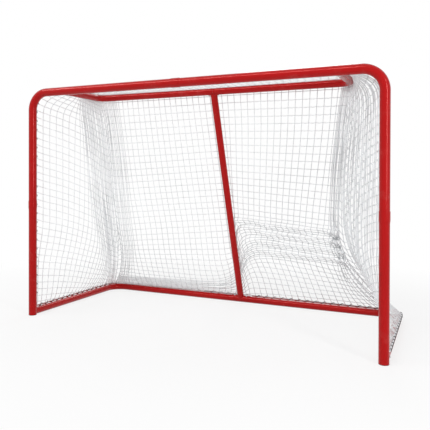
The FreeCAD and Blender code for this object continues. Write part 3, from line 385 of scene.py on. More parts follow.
def braided_cord(name, colour, stitch, roughness, sheen):
    """Braided cord: the braid's relief, painted shade in the braid's grooves with a little painted light on
    its crowns, a slightly uneven colour and a soft sheen.
    """
    material, tree, shader = new_material(name)
    braid = place_group(tree, braid_group(), Stitch=stitch, Strands=4.0)
    drifted = place_group(tree, drift_group(), Color=opaque(colour), Scale=18.0, Amount=0.14)["Color"]
    fuzz = place_group(tree, grain_group(), Scale=2400.0)["Height"]
    # The braid's painted shade darkens the colour in its grooves and lightens it a little on its crowns.
    shaded = add_node(tree, "ShaderNodeHueSaturation", {"Value": braid["Shade"], "Color": drifted})
    relief = math_node(tree, "ADD", braid["Height"], math_node(tree, "MULTIPLY", fuzz, 0.35))
    fill(tree, shader, {"Base Color": shaded.outputs["Color"],
                        "Roughness": ranged(tree, fuzz, roughness - 0.08, roughness + 0.08),
                        "Normal": bumped(tree, relief, 0.6, 0.0003),
                        "Sheen Weight": sheen, "Sheen Roughness": 0.4})
    return material


def twine_material(sizes):
    found = bpy.data.materials.get("white_braided_twine")
    return found or braided_cord("white_braided_twine", sizes.colour, 0.0024, 0.62, 0.25)


def finish_nodes(slot, material):
    """Gives a material to every solid that the record finishes from one slot."""
    found = [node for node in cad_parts.values()
             if node.data.materials and node.data.materials[0].name.split(".")[0] == slot]
    if not found:
        raise RuntimeError(f"no solid has the material slot {slot}")
    for node in found:
        node.data.materials[0] = material


# Lines that the net's edges follow, for the right half and in the goal's own places

def rounded_line(start, corner, end, radius, steps=9):
    """Points of a line with one rounded corner, and the place of the middle of its bend among them."""
    start, corner, end = (np.array(point, float) for point in (start, corner, end))
    back = (start - corner) / np.linalg.norm(start - corner)
    ahead = (end - corner) / np.linalg.norm(end - corner)
    half = math.acos(back @ ahead) / 2
    reach = radius / math.tan(half)
    inward = (back + ahead) / np.linalg.norm(back + ahead)
    centre = corner + inward * radius / math.sin(half)
    first = corner + back * reach - centre
    last = corner + ahead * reach - centre
    sweep = math.pi - 2 * half
    arc = [centre + (first * math.sin((1 - t) * sweep) + last * math.sin(t * sweep)) / math.sin(sweep)
           for t in np.linspace(0, 1, steps)]
    return np.array([start] + arc + [end]), 1 + steps // 2


def shelf_line(out, down):
    depth, level = SHELF_Y + out, SHELF_Z - down
    return rounded_line((0, depth, level), (ARM_X + out, depth, level),
                        (ARM_X + out, MOUTH + ARM_FRONT, level), SHELF_CORNER + out)


def front_line(behind, first_x=0.0):
    depth = FRONT_ROD_Y + behind
    return rounded_line((first_x, depth, CROSSBAR_Z), (POST_X, depth, CROSSBAR_Z),
                        (POST_X, depth, FRONT_FOOT), POST_BEND)


def base_line(up):
    return rounded_line((0, BASE_Y, BASE_Z + up), (BASE_CORNER_X, BASE_Y, BASE_Z + up),
                        (BASE_FRONT_X, MOUTH + BASE_FRONT, BASE_Z + up), BASE_CORNER)


def line_length(points):
    return float(np.linalg.norm(np.diff(points, axis=0), axis=1).sum())


def along(points, shares):
    """Points at given shares of a line's length."""
    run = np.concatenate([[0], np.cumsum(np.linalg.norm(np.diff(points, axis=0), axis=1))])
    at = np.asarray(shares) * run[-1]
    return np.stack([np.interp(at, run, points[:, k]) for k in range(3)], -1)


def mirrored(points):
    return points * np.array([-1.0, 1.0, 1.0])


def whole(points):
    """A right half line and its left twin as one line from left to right."""
    return np.concatenate([mirrored(points[::-1])[:-1], points])


def unit(vectors, least=1e-6):
    """Vectors brought to length one."""
    return vectors / np.maximum(np.linalg.norm(vectors, axis=-1, keepdims=True), least)


def smoothed(points, passes=14):
    """A line resampled in even steps with its corners eased."""
    line = along(np.asarray(points, float), np.linspace(0, 1, 121))
    for _ in range(passes):
        line[1:-1] = (line[:-2] + 2 * line[1:-1] + line[2:]) / 4
    return line


def at_height(line, heights):
    """Points of a falling line at given heights."""
    order = np.argsort(line[:, 2])
    return np.stack([np.interp(heights, line[order, 2], line[order, k]) for k in range(3)], -1)


def creased():
    return smoothed([(half, MOUTH + depth, height) for half, depth, height in CREASE])


# The sheets as they were cut

def halves(count):
    """The knots along a line of bars, and the points half way between them, as numbers of bars."""
    return np.arange(2 * count + 1) / 2


def spaced(count, length, wide, narrow, tight, start_tight=0.0):
    """Where half columns stand along a line: from wide to narrow, then tight at its far end and its start."""
    start = start_tight * ((wide + narrow) / 2 - tight)
    loose = np.clip((length + start - tight * count) / ((wide + narrow) / 2 - tight), start_tight + 1, count)
    fine = np.linspace(0, count, 40 * count + 1)
    share = np.clip((fine - start_tight) / (loose - start_tight), 0, 1)
    gap = wide + (narrow - wide) * share
    gap = tight + (gap - tight) * np.clip((loose - fine) / 2.4 + 0.5, 0, 1)
    if start_tight:
        gap = tight + (gap - tight) * np.clip((fine - start_tight) / 1.2 + 0.5, 0, 1)
    run = np.concatenate([[0], np.cumsum((gap[1:] + gap[:-1]) / 2)])
    return lambda columns: np.interp(columns, fine, run / run[-1])


def row_shares(folded):
    """How far down the back each half row lies. Spare rows are in the fold, or low behind the base bar."""
    rows = halves(ROWS)
    if folded:
        marks = np.interp(rows, [0, 7, 14.5, 19.2, 38.4, ROWS], [0, 0.206, 0.434, 0.575, 0.770, 1.0])
    else:
        marks = np.interp(rows, [0, 7, 14.5, 21.5, 30.7, ROWS], [0, 0.206, 0.432, 0.638, 0.926, 1.0])
    smooth = np.convolve(np.pad(marks, 3, mode="reflect", reflect_type="odd"), np.ones(7) / 7, "valid")
    return (smooth - smooth[0]) / (smooth[-1] - smooth[0])


def pleated(grid, columns, shares, depth):
    """Stands the spare length of a gathered net in pleats that run down it."""
    run = np.gradient(grid, axis=1)
    room = np.linalg.norm(run, axis=-1) * 2
    spare = np.clip(1 - room / 0.030, 0, 1) * np.sin(np.pi * np.clip(shares * 1.02, 0, 1))[:, None] ** 0.6
    phase = 1.5 * np.sin(4 * shares) + 0.9 * np.sin(11 * shares + 1)
    wave = np.sin(2 * math.pi * columns[None, :] / PLEAT_PERIOD + phase[:, None])
    outward = unit(run[..., [1, 0, 2]] * np.array([1.0, -1.0, 0.0]))
    return grid + outward * (wave * spare * depth)[..., None]


def half_back(folded):
    """The right half of the back sheet, each row straight from the brace to the crease."""
    shelf, shelf_turn = shelf_line(EDGE, SHELF_DROP)
    base, base_turn = base_line(EDGE)
    shares, rows, columns = row_shares(folded), halves(ROWS), halves(BACK_COLUMNS)
    behind = BAR_R * math.hypot(1, BRACE_LEAN) + 0.006
    depth = MOUTH + SHELF_DEPTH + behind + shares * (BASE_Y - MOUTH - SHELF_DEPTH - behind)
    centre = np.stack([shares * 0, depth, SHELF_Z - shares * (SHELF_Z - BASE_Z - EDGE)], -1)
    sink = np.interp(shares, [0, 0.12, 0.5, 0.75, 0.95], [0, 0.040, 0.045, 0.020, 0])
    outer = at_height(creased(), np.maximum(centre[:, 2] - sink, BASE_Z + EDGE))
    lines = [shelf[:shelf_turn + 1], *np.stack([centre, outer], 1)[1:-1], base[:base_turn + 1]]
    if folded:
        wide = np.interp(shares, [0, 0.6, 1], [0.0388, 0.0384, 0.0392])
        tight = np.interp(shares, [0.72, 0.9], [0.0050, 0.0160])
        hugged = np.interp(shares, [0, 0.15, 0.6, 1.0], [0.2, 0.5, 2.0, 1.2])
    else:
        wide = np.interp(shares, [0, 0.2, 0.45, 0.62, 1], [0.0362, 0.0352, 0.0342, 0.0335, 0.0375])
        tight, hugged = shares * 0 + 0.0090, shares * 0
    grid = np.array([
        along(line, spaced(BACK_COLUMNS, line_length(line), gap, gap - 0.0015, least, hug)(columns))
        for line, gap, least, hug in zip(lines, wide, tight, hugged)])

    # The first and last tenth ease into the line of their rod.
    near = np.clip(1 - shares / 0.10, 0, 1)[:, None, None] ** 2
    grid[1:-1] += ((grid[0] - grid[1])[None] * near)[1:-1]
    low = np.clip((shares - 0.90) / 0.10, 0, 1)[:, None, None] ** 2
    grid[1:-1] += ((grid[-1] - grid[-2])[None] * low)[1:-1]

    # Rows that are gathered closer than they were knotted crumple, each column in its own phase.
    smooth = grid
    grid = pleated(grid, columns, shares, FOLDED_PLEAT if folded else BACK_PLEAT)
    gathered = np.clip(1 - np.linalg.norm(np.gradient(grid, axis=0), axis=-1) * 2 / 0.036, 0, 1)
    gathered *= (np.where(shares > 0.9, 0.2, 1.0) * ((rows > 2) & (rows < ROWS - 1)))[:, None]
    fade = np.clip((BACK_COLUMNS - columns) / 9, 0, 1)
    wander = (0.9 * np.sin(columns * 0.45) + 1.1 * np.sin(columns * 1.05 + 2)) * fade
    phase = 2 * math.pi * rows[:, None] / FOLD_PERIOD + wander[None, :]
    grid[..., 1] += np.sin(phase) * gathered * FOLD_DEPTH
    grid[..., 0] += np.cos(phase * 1.3 + 1) * gathered * FOLD_SWAY
    grid[[0, -1]], grid[:, -1] = smooth[[0, -1]], smooth[:, -1]
    grid[:, 0, 0] = 0.0
    return grid


def drawn_back():
    """The whole back sheet: smooth on the left, with a fold above the base bar on the right."""
    plain_half, folded_half = half_back(False), half_back(True)
    share = np.clip(halves(BACK_COLUMNS) / 2.5, 0, 1)[None, :, None]
    share = share * share * (3 - 2 * share)
    right = plain_half + (folded_half - plain_half) * share
    return np.concatenate([mirrored(plain_half[:, :0:-1]), right], axis=1)


def drawn_side(crumpled):
    """The right side sheet, from post to crease, and which of its points lie on its upper or lower rod.

    Its rows drop towards the crease, so the first start on the shelf arm and the last end on the base bar."""
    shelf, turn = shelf_line(EDGE, SHELF_DROP)
    front, _ = front_line(EDGE, ARM_X + 0.007)
    base, base_turn = base_line(EDGE)
    post, crease = np.concatenate([front, base[-1:]]), creased()
    top_edge = np.concatenate([front[:1], shelf[turn:][::-1]])
    low_edge = base[base_turn:][::-1]
    length, falls = line_length(post), line_length(front[:-1])

    def surface(t, u):
        """Points of the sheet at lengths t down the post and shares u of the way to the crease."""
        near = along(post, t / length)
        far = at_height(crease, np.interp(t, [0, falls, length], [1.2606, 1.135, crease[-1, 2]]))
        spot = near + (far - near) * u[:, None]
        for rod, end, away in ((top_edge, 0, t / 0.12), (low_edge, -1, (length - t) / 0.14)):
            gap = along(rod, u) - (post[end] + (crease[end] - post[end]) * u[:, None])
            spot = spot + gap * (np.clip(1 - away, 0, 1) ** 2)[:, None]
        return spot

    count = CRUMPLED_COLUMNS if crumpled else SIDE_COLUMNS
    columns = halves(count)
    levels = np.linspace(0, length, 61)
    table = np.tile(columns / count, (len(levels), 1))
    if not crumpled:
        for i, t in enumerate(levels):
            room = line_length(surface(np.full(60, t), np.linspace(0, 1, 60)))
            wide = np.interp(t, [0, 0.4, 0.9], [0.0430, 0.0405, 0.0410])
            narrow = np.interp(t, [0, 0.4, 0.9], [0.0430, 0.0340, 0.0260])
            low = np.clip((t / length - 0.66) / 0.15, 0, 1)
            table[i] = spaced(count, room, wide, narrow, 0.0066, 1.2 * low)(columns)

    # A row's level and its columns depend on each other, so they are found by turns.
    start = -0.085 + halves(SIDE_ROWS - 1) * ROW_PITCH
    drop = np.interp(start, [0, 0.4, 0.9], [0.105, 0.165, 0.185])
    t = np.repeat(start[:, None], len(columns), 1)
    for _ in range(5):
        level = np.clip(t, 0, length) / levels[1]
        below = np.minimum(level.astype(int), len(levels) - 2)
        part = level - below
        place = np.arange(len(columns))[None, :]
        u = table[below, place] * (1 - part) + table[below + 1, place] * part
        t = start[:, None] + drop[:, None] * u ** 1.6
    tied = (t <= 0.004) | (t >= length - 0.004)
    tied[:, [0, -1]] = True
    flat = surface(np.clip(t, 0, length).ravel(), u.ravel()).reshape(t.shape + (3,))
    grid = pleated(flat, columns, np.clip(start / length, 0, 1), CRUMPLED_PLEAT if crumpled else SIDE_PLEAT)
    grid[tied] = flat[tied]
    return grid, tied


def drawn_top():
    """The top sheet, flat between the crossbar and the shelf bar with its round corners."""
    share = np.linspace(0, 1, 2 * TOP_ROWS + 1)[:, None]
    across = np.linspace(-1, 1, 2 * TOP_COLUMNS + 1)[None, :]
    depth = FRONT_ROD_Y + EDGE + (SHELF_Y - FRONT_ROD_Y) * share
    radius = SHELF_CORNER + EDGE
    into_bend = np.maximum(depth - (SHELF_Y + EDGE - radius), 0)
    half = ARM_X + EDGE - radius + np.sqrt(np.maximum(radius ** 2 - into_bend ** 2, 0))
    level = CROSSBAR_Z + 0.001 + (SHELF_Z - CROSSBAR_Z - 0.001) * share
    level = np.where(share > 0.06, np.maximum(level, SHELF_Z + 0.0025), level)
    level[-1] = SHELF_Z
    return np.stack([across * half, depth + across * 0, level + across * 0], -1)


# The net settles on its rods

def tubes():
    """Centre lines and radii of the tubes that the net lies against."""
    shelf_y, base_y, top = MOUTH + SHELF_DEPTH, MOUTH + GOAL_DEPTH, SHELF_BAR_Z
    bent = ((BAR_R, (0, shelf_y, top), (SHELF_BAR_X, shelf_y, top), (SHELF_BAR_X, MOUTH, top), SHELF_BEND),
            (BAR_R, (0, base_y, BAR_R), (BASE_BAR_X, base_y, BAR_R), (POST_X, MOUTH, BAR_R), BASE_BEND),
            (POST_R, (0, MOUTH, CROSSBAR_Z), (POST_X, MOUTH, CROSSBAR_Z), (POST_X, MOUTH, 0), POST_BEND))
    found = [(rounded_line(*line, 5)[0] * np.array([side, 1, 1]), radius + TUBE_GAP)
             for side in (1.0, -1.0) for radius, *line in bent]
    brace = np.array([(0, base_y, BAR_R), (0, shelf_y, top)])
    return found + [(brace, BAR_R + TUBE_GAP)]


def keep_outside(points, lines):
    """Moves points that are inside a tube to its skin."""
    for line, radius in lines:
        for start, end in zip(line, line[1:]):
            low = np.minimum(start, end) - radius
            high = np.maximum(start, end) + radius
            near = np.all((points > low) & (points < high), axis=-1)
            if not near.any():
                continue
            close = points[near]
            run = end - start
            share = np.clip(((close - start) @ run) / (run @ run), 0, 1)
            away = close - (start + share[:, None] * run)
            size = np.linalg.norm(away, axis=1)
            inside = size < radius
            away[size < 1e-6] = (0, 1, 0)
            push = away / np.maximum(size, 1e-6)[:, None] * (radius - size)[:, None]
            close[inside] += push[inside]
            points[near] = close


def tighten(first, second, rest):
    """Draws two neighbours together where their twine is longer than it was cut."""
    gap = second - first
    length = np.sqrt((gap * gap).sum(-1, keepdims=True))
    shift = gap * (np.maximum(length - rest, 0) / np.maximum(length, 1e-9) * 0.5)
    first += shift
    second -= shift


def ease(points, share):
    """Takes kinks out of each strand without spacing its points evenly."""
    for strands in (points[::2], points[:, ::2].transpose(1, 0, 2)):
        run = unit(strands[:, 2:] - strands[:, :-2], 1e-9)
        bend = (strands[:, 2:] + strands[:, :-2]) / 2 - strands[:, 1:-1]
        bend = bend - run * (bend * run).sum(-1, keepdims=True)
        strands[:, 1:-1] += bend * share


def behind_brace(sheet):
    """Keeps the middle columns of the back sheet behind the back brace."""
    centre = sheet.shape[1] // 2
    reach = BAR_R + BRACE_GAP
    for column in sheet[:, centre - 2:centre + 3].transpose(1, 0, 2):
        out = np.sqrt(np.maximum(reach ** 2 - column[:, 0] ** 2, 0)) * math.hypot(1, BRACE_LEAN)
        line = MOUTH + SHELF_DEPTH + (SHELF_BAR_Z - column[:, 2]) * BRACE_LEAN
        close = np.abs(column[:, 0]) < reach
        column[:, 1] = np.where(close, np.maximum(column[:, 1], line + out), column[:, 1])


def settle(drawn, held, seed, steps, pitch, memory=MEMORY, guard=None):
    """Lets the net hang: its twine can't stretch, it has weight, and it lies on the tubes and the floor."""
    rest, lines = pitch / 2, tubes()
    points = drawn + np.random.default_rng(seed).normal(0, UNEVENNESS, drawn.shape)
    points[held] = drawn[held]
    before = points.copy()
    for _ in range(steps):
        moved = points + (points - before) * KEPT_SPEED
        moved[..., 2] -= WEIGHT
        moved += (drawn - moved) * memory
        before = points
        ease(moved, KINK_EASE)
        for _ in range(TIGHTENINGS):
            for start in (0, 1):
                tighten(moved[::2, start:-1:2], moved[::2, start + 1::2], rest)
                tighten(moved[start:-1:2, ::2], moved[start + 1::2, ::2], rest)
            if guard:
                guard(moved)
            moved[held] = drawn[held]
        keep_outside(moved, lines)
        moved[..., 2] = np.maximum(moved[..., 2], FLOOR_GAP)
        moved[held] = drawn[held]
        points = moved
    return points


def rim(grid):
    """The points on a sheet's four edges."""
    held = np.zeros(grid.shape[:2], bool)
    held[[0, -1]] = True
    held[:, [0, -1]] = True
    return held


def hung_nets(sizes):
    """The settled sheets, and which points of a side sheet are tied to its rods."""
    steps = sizes.steps
    back, top = drawn_back(), drawn_top()
    (right, right_tied), (left, left_tied) = drawn_side(True), drawn_side(False)
    back = settle(back, rim(back), 4, steps, sizes.pitch, guard=behind_brace)
    right = settle(right, right_tied, 6, steps, sizes.pitch)
    left = mirrored(settle(left, left_tied, 7, steps, sizes.pitch))
    top = settle(top, rim(top), 9, steps, TOP_PITCH, TOP_MEMORY)
    return back, left, left_tied, right, right_tied, top


# Geometry node trees

def geometry_group(name, *inputs):
    """A geometry tree with named inputs."""
    return node_group(name, "GeometryNodeTree", [("Geometry", "Geometry", None), *inputs,
                                                 ("Material", "Material", None)], [("Geometry", "Geometry")])


def captured(tree, geometry, kind, name, value):
    """Geometry whose points carry a value along, and that value."""
    kept = add_node(tree, "GeometryNodeCaptureAttribute", domain="POINT")
    kept.capture_items.new(kind, name)
    fill(tree, kept, {0: geometry, name: value})
    return kept.outputs[0], kept.outputs[name]


def round_strand(tree, curve, thickness, sides):
    """A curve made a round strand that carries where each point is along and round it."""
    run = add_node(tree, "GeometryNodeSplineParameter").outputs["Length"]
    line, run = captured(tree, curve, "FLOAT", "run", run)
    radius = math_node(tree, "MULTIPLY", thickness, 0.5)
    ring = geo(tree, "CurvePrimitiveCircle", {"Resolution": sides, "Radius": radius})
    outward = vector_node(tree, "NORMALIZE", geo(tree, "InputPosition"))
    profile, turn = captured(tree, ring, "VECTOR", "turn", outward)
    skin = geo(tree, "CurveToMesh", {"Curve": line, "Profile Curve": profile, "Fill Caps": True})
    parts = add_node(tree, "ShaderNodeSeparateXYZ", {"Vector": turn}).outputs
    strand = add_node(tree, "ShaderNodeCombineXYZ", {"X": parts["X"], "Y": parts["Y"], "Z": run}).outputs[0]
    return geo(tree, "StoreNamedAttribute", {"Geometry": skin, "Name": "strand", "Value": strand},
               data_type="FLOAT_VECTOR", domain="POINT")


def finished_tree(tree, given, result, geometry):
    """Ends a tree in smooth faces, Realize Instances and Set Material."""
    real = geo(tree, "RealizeInstances", {"Geometry": geo(tree, "SetShadeSmooth", {"Geometry": geometry})})
    fill(tree, result, {0: geo(tree, "SetMaterial", {"Geometry": real, "Material": given["Material"]})})
    return tree


def scattered(tree, seed, low, high):
    """A random vector for each point."""
    return add_node(tree, "FunctionNodeRandomValue", {0: low, 1: high, "Seed": seed},
                    data_type="FLOAT_VECTOR").outputs[0]


@shared("Netting")
def netting_tree(name):
    """Twine along every edge of a mesh of knots, with a knot at each marked point."""
    tree, given, result = geometry_group(name, ("Twine", "Float", 0.003), ("Knot", "Float", 0.0056),
                                         ("Seed", "Int", 7))
    bars = geo(tree, "MeshToCurve", {"Mesh": given["Geometry"]})
    curved = geo(tree, "CurveSplineType", {"Curve": bars}, spline_type="CATMULL_ROM")
    fine = geo(tree, "SetSplineResolution", {"Geometry": curved, "Resolution": 2})
    twine = round_strand(tree, fine, given["Twine"], 6)
    marked = geo(tree, "InputNamedAttribute", {"Name": "knot"}, data_type="FLOAT")
    is_knot = add_node(tree, "FunctionNodeCompare", {0: marked, 1: 0.5}, operation="GREATER_THAN").outputs[0]
    lump = geo(tree, "MeshUVSphere", {
        "Radius": math_node(tree, "MULTIPLY", given["Knot"], 0.5), "Segments": 6, "Rings": 3})
    knots = geo(tree, "InstanceOnPoints", {
        "Points": given["Geometry"], "Selection": is_knot, "Instance": lump,
        "Rotation": scattered(tree, given["Seed"], (0.0, 0.0, 0.0), (6.28, 6.28, 6.28)),
        "Scale": scattered(tree, given["Seed"], (0.8, 0.85, 0.9), (0.95, 1.1, 1.3))})
    joined = add_node(tree, "GeometryNodeJoinGeometry", {0: twine})
    fill(tree, joined, {0: knots})
    return finished_tree(tree, given, result, joined.outputs[0])


@shared("Edge cord")
def rope_tree(name):
    """A round cord along a line."""
    tree, given, result = geometry_group(name, ("Thickness", "Float", 0.005))
    line = geo(tree, "MeshToCurve", {"Mesh": given["Geometry"]})
    even = geo(tree, "ResampleCurve", {"Curve": line, "Length": 0.012}, mode="LENGTH")
    return finished_tree(tree, given, result, round_strand(tree, even, given["Thickness"], 8))


@shared("Lacing")
def lacing_tree(name):
    """A cord that winds along a line, quick over the side that faces out and slow behind it."""
    tree, given, result = geometry_group(name, ("Pitch", "Float", 0.05), ("Cord", "Float", 0.0035),
                                         ("Width", "Float", 0.0065), ("Depth", "Float", 0.0045))
    line = geo(tree, "MeshToCurve", {"Mesh": given["Geometry"]})
    even = geo(tree, "ResampleCurve", {"Curve": line, "Length": 0.0025}, mode="LENGTH")
    facing = geo(tree, "InputNamedAttribute", {"Name": "facing"}, data_type="FLOAT_VECTOR")
    outward = vector_node(tree, "NORMALIZE", facing)
    aside = vector_node(tree, "CROSS_PRODUCT", geo(tree, "InputTangent"), outward)
    across = vector_node(tree, "NORMALIZE", aside)
    run = add_node(tree, "GeometryNodeSplineParameter").outputs["Length"]
    angle = math_node(tree, "MULTIPLY", math_node(tree, "DIVIDE", run, given["Pitch"]), 2 * math.pi)
    hurry = math_node(tree, "MULTIPLY", math_node(tree, "SINE", angle), 0.45)
    wound = math_node(tree, "SUBTRACT", angle, hurry)
    reach = math_node(tree, "MULTIPLY", math_node(tree, "COSINE", wound), given["Depth"])
    reach = math_node(tree, "MULTIPLY", reach, -1.0)
    sway = math_node(tree, "MULTIPLY", math_node(tree, "SINE", wound), given["Width"])
    shift = vector_node(tree, "ADD", vector_node(tree, "SCALE", outward, Scale=reach),
                        vector_node(tree, "SCALE", across, Scale=sway))
    wave = geo(tree, "SetPosition", {"Geometry": even, "Offset": shift})
    return finished_tree(tree, given, result, round_strand(tree, wave, given["Cord"], 6))


# Pieces

def new_object(name, data):
    """An object of this data, in the scene."""
    made = bpy.data.objects.new(name, data)
    bpy.context.scene.collection.objects.link(made)
    return made


def new_mesh(name, points, edges=(), faces=()):
    mesh = bpy.data.meshes.new(name)
    mesh.from_pydata([tuple(point) for point in points], edges, faces)
    return mesh


def line_mesh(name, points, edges, label=None, values=()):
    """A piece of bare points and edges, with a labelled number or vector on each of its points."""
    mesh = new_mesh(name, points, edges)
    if label:
        values = np.asarray(values, np.float32)
        kind, field = ("FLOAT", "value") if values.ndim == 1 else ("FLOAT_VECTOR", "vector")
        mesh.attributes.new(label, kind, "POINT").data.foreach_set(field, values.ravel())
    return new_object(name, mesh)


def chain(start, count):
    """The edges of a line of points."""
    return [(start + k, start + k + 1) for k in range(count - 1)]


def grown(piece, tree, values):
    """Runs a geometry tree on a piece and keeps the result as its plain mesh."""
    modifier = piece.modifiers.new("grow", "NODES")
    modifier.node_group = tree
    sockets = {item.name: item.identifier for item in tree.interface.items_tree
               if item.item_type == "SOCKET" and item.in_out == "INPUT"}
    for name, value in values.items():
        modifier[sockets[name]] = value
    mesh = bpy.data.meshes.new_from_object(piece.evaluated_get(bpy.context.evaluated_depsgraph_get()))
    if not mesh.polygons:
        raise RuntimeError(f"{piece.name} came out empty")
    piece.modifiers.remove(modifier)
    raw, piece.data = piece.data, mesh
    mesh.name = piece.name
    bpy.data.meshes.remove(raw)


def net_piece(name, grid, first, last, own_first, own_last, tied):
    """The strands and knots of one panel: the columns from first to last of a grid of half bars."""
    points, edges, knots = [], [], []
    if tied is None:
        tied = np.zeros(grid.shape[:2], bool)
    own = range(first if own_first else first + 2, last + 1 if own_last else last - 1, 2)

    def strand(spots, ends, marks):
        start = len(points)
        points.extend(spots)
        knots.extend(marks)
        edges.extend(edge for k, edge in enumerate(chain(start, len(spots)))
                     if not (ends[k] and ends[k + 1]) and np.abs(spots[k + 1] - spots[k]).max() > 1e-5)

    for i in range(0, grid.shape[0], 2):
        marks = [1.0 if j in own and not tied[i, j] else 0.0 for j in range(first, last + 1)]
        strand(grid[i, first:last + 1], tied[i, first:last + 1], marks)
    for j in own:
        strand(grid[:, j], tied[:, j] & (j > 0), [0.0] * grid.shape[0])
    return line_mesh(name, points, edges, "knot", knots)


def rope_piece(name, line, thickness, sizes):
    """A white cord along a line, as a piece of its own."""
    piece = line_mesh(name, line, chain(0, len(line)))
    grown(piece, rope_tree(), {"Thickness": thickness, "Material": twine_material(sizes)})
    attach(piece, BODY)


class HOCKEY_OT_paint_frame(Operator):
    """Finish the red tubes and rods and the black foot plugs"""
    bl_idname = "hockey.paint_frame"
    bl_label = "Paint the frame"

    def execute(self, context):
        colours = context.scene.hockey_finish
        finish_nodes("red_paint", red_paint(colours.paint))
        finish_nodes("black_plastic", moulded_plastic(colours.plug))
        return {"FINISHED"}


class HOCKEY_OT_finish_hardware(Operator):
    """Finish the spigots, sleeves, screws, snap buttons and springs"""
    bl_idname = "hockey.finish_hardware"
    bl_label = "Finish the hardware"

    def execute(self, context):
        steel = context.scene.hockey_finish.steel
        for slot, *finish in (
                ("bare_steel", "bare_drawn_steel", steel, 0.42, (1.0, 1.0, 0.08), 0.6),
                ("zinc_screw", "zinc_plate", (0.60, 0.61, 0.64), 0.34, EVEN, 0.3),
                ("nickel_button", "polished_nickel", (0.72, 0.69, 0.64), 0.2, EVEN, 0.25),
                ("spring_steel", "blued_spring_steel", (0.19, 0.21, 0.26), 0.3, (0.2, 1.0, 1.0), 0.3)):
            finish_nodes(slot, metal(*finish))
        return {"FINISHED"}


class HOCKEY_OT_leaf_springs(Operator):
    """Fold the leaf springs that give way behind the snap buttons"""
    bl_idname = "hockey.leaf_springs"
    bl_label = "Leaf springs"

    def execute(self, context):
        up_brace = np.array([0.0, -BRACE_LEAN, 1.0]) / math.hypot(1, BRACE_LEAN)
        for name, out, along_tube in (
                ("left_post", (0, 1, 0), (0, 0, 1)), ("right_post", (0, 1, 0), (0, 0, 1)),
                ("crossbar", (0, 1, 0), (1, 0, 0)),
                ("brace_low", (1, 0, 0), up_brace), ("brace_top", (1, 0, 0), -up_brace)):
            self.fold(name, np.array(out, float), np.array(along_tube, float))
        return {"FINISHED"}

    @staticmethod
    def fold(name, out, along_tube):
        """One spring: a strip folded in two, whose front leg goes in with the button."""
        low, high = (np.array(corner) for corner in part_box(name + "_button"))
        centre = (low + high) / 2
        centre += out * ((np.array([0.0, MOUTH, 0.0]) - centre) @ out)
        low, high = (np.array(corner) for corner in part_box(name + "_spring"))
        front = (high - centre) @ out - SPRING_STRIP / 2
        rear = (low - centre) @ out + SPRING_STRIP / 2
        turns = [(front, -SPRING_TAIL), (front, SPRING_TAIL), *SPRING_BEND, (rear, -SPRING_TAIL)]
        path = smoothed([centre + out * far + along_tube * up for far, up in turns], 3)
        across = np.cross(along_tube, out)
        skin = np.cross(across, unit(np.gradient(path, axis=0))) * SPRING_STRIP / 2
        side = across * SPRING_WIDTH / 2
        corners = np.stack([path + skin + side, path - skin + side,
                            path - skin - side, path + skin - side], 1)
        last = 4 * len(path) - 4
        faces = [(3, 2, 1, 0), tuple(range(last, last + 4))]
        for k in range(0, last, 4):
            faces += [(k + j, k + (j + 1) % 4, k + 4 + (j + 1) % 4, k + 4 + j) for j in range(4)]
        mesh = new_mesh(name + "_leaf", corners.reshape(-1, 3), (), faces)
        mesh.materials.append(bpy.data.materials["blued_spring_steel"])
        piece = new_object(name + "_leaf", mesh)
        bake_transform(piece)
        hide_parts(name + "_spring")


class HOCKEY_OT_hang_net(Operator):
    """Settle the net on its rods, tie it from twine and knots, and sew its corners"""
    bl_idname = "hockey.hang_net"
    bl_label = "Hang the net"

    def execute(self, context):
        sizes = context.scene.hockey_netting
        back, left, left_tied, right, right_tied, top = hung_nets(sizes)
        centre = 2 * BACK_COLUMNS
        for name, grid, first, last, own_first, own_last, ends, node in (
                ("left_side_netting", left, 0, 2 * SIDE_COLUMNS, True, False, left_tied, "left_side_net"),
                ("back_netting_left", back, 0, centre, True, True, None, "back_net"),
                ("back_netting_right", back, centre, 2 * centre, False, True, None, "back_net"),
                ("right_side_netting", right, 0, 2 * CRUMPLED_COLUMNS, True, False, right_tied,
                 "right_side_net"),
                ("top_netting", top, 0, 2 * TOP_COLUMNS, True, True, None, "top_net")):
            piece = net_piece(name, grid, first, last, own_first, own_last, ends)
            grown(piece, netting_tree(), {"Twine": sizes.twine, "Knot": sizes.knot, "Seed": 7,
                                          "Material": twine_material(sizes)})
            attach(piece, BODY)
            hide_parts(node)
        for name, strand in (("left_corner_seam_cord", back[:, 0]), ("right_corner_seam_cord", back[:, -1])):
            rope_piece(name, smoothed(strand, 3), SEAM_CORD, sizes)
        return {"FINISHED"}


class HOCKEY_OT_edge_cords(Operator):
    """Run the edge cords beside the lacing rods"""
    bl_idname = "hockey.edge_cords"
    bl_label = "Edge cords"

    def execute(self, context):
        sizes = context.scene.hockey_netting
        for name, (line, _) in (("mouth_edge_cord", front_line(EDGE)),
                                ("shelf_edge_cord", shelf_line(EDGE, SHELF_DROP)),
                                ("base_edge_cord", base_line(EDGE))):
            rope_piece(name, whole(line), sizes.rope, sizes)
        return {"FINISHED"}


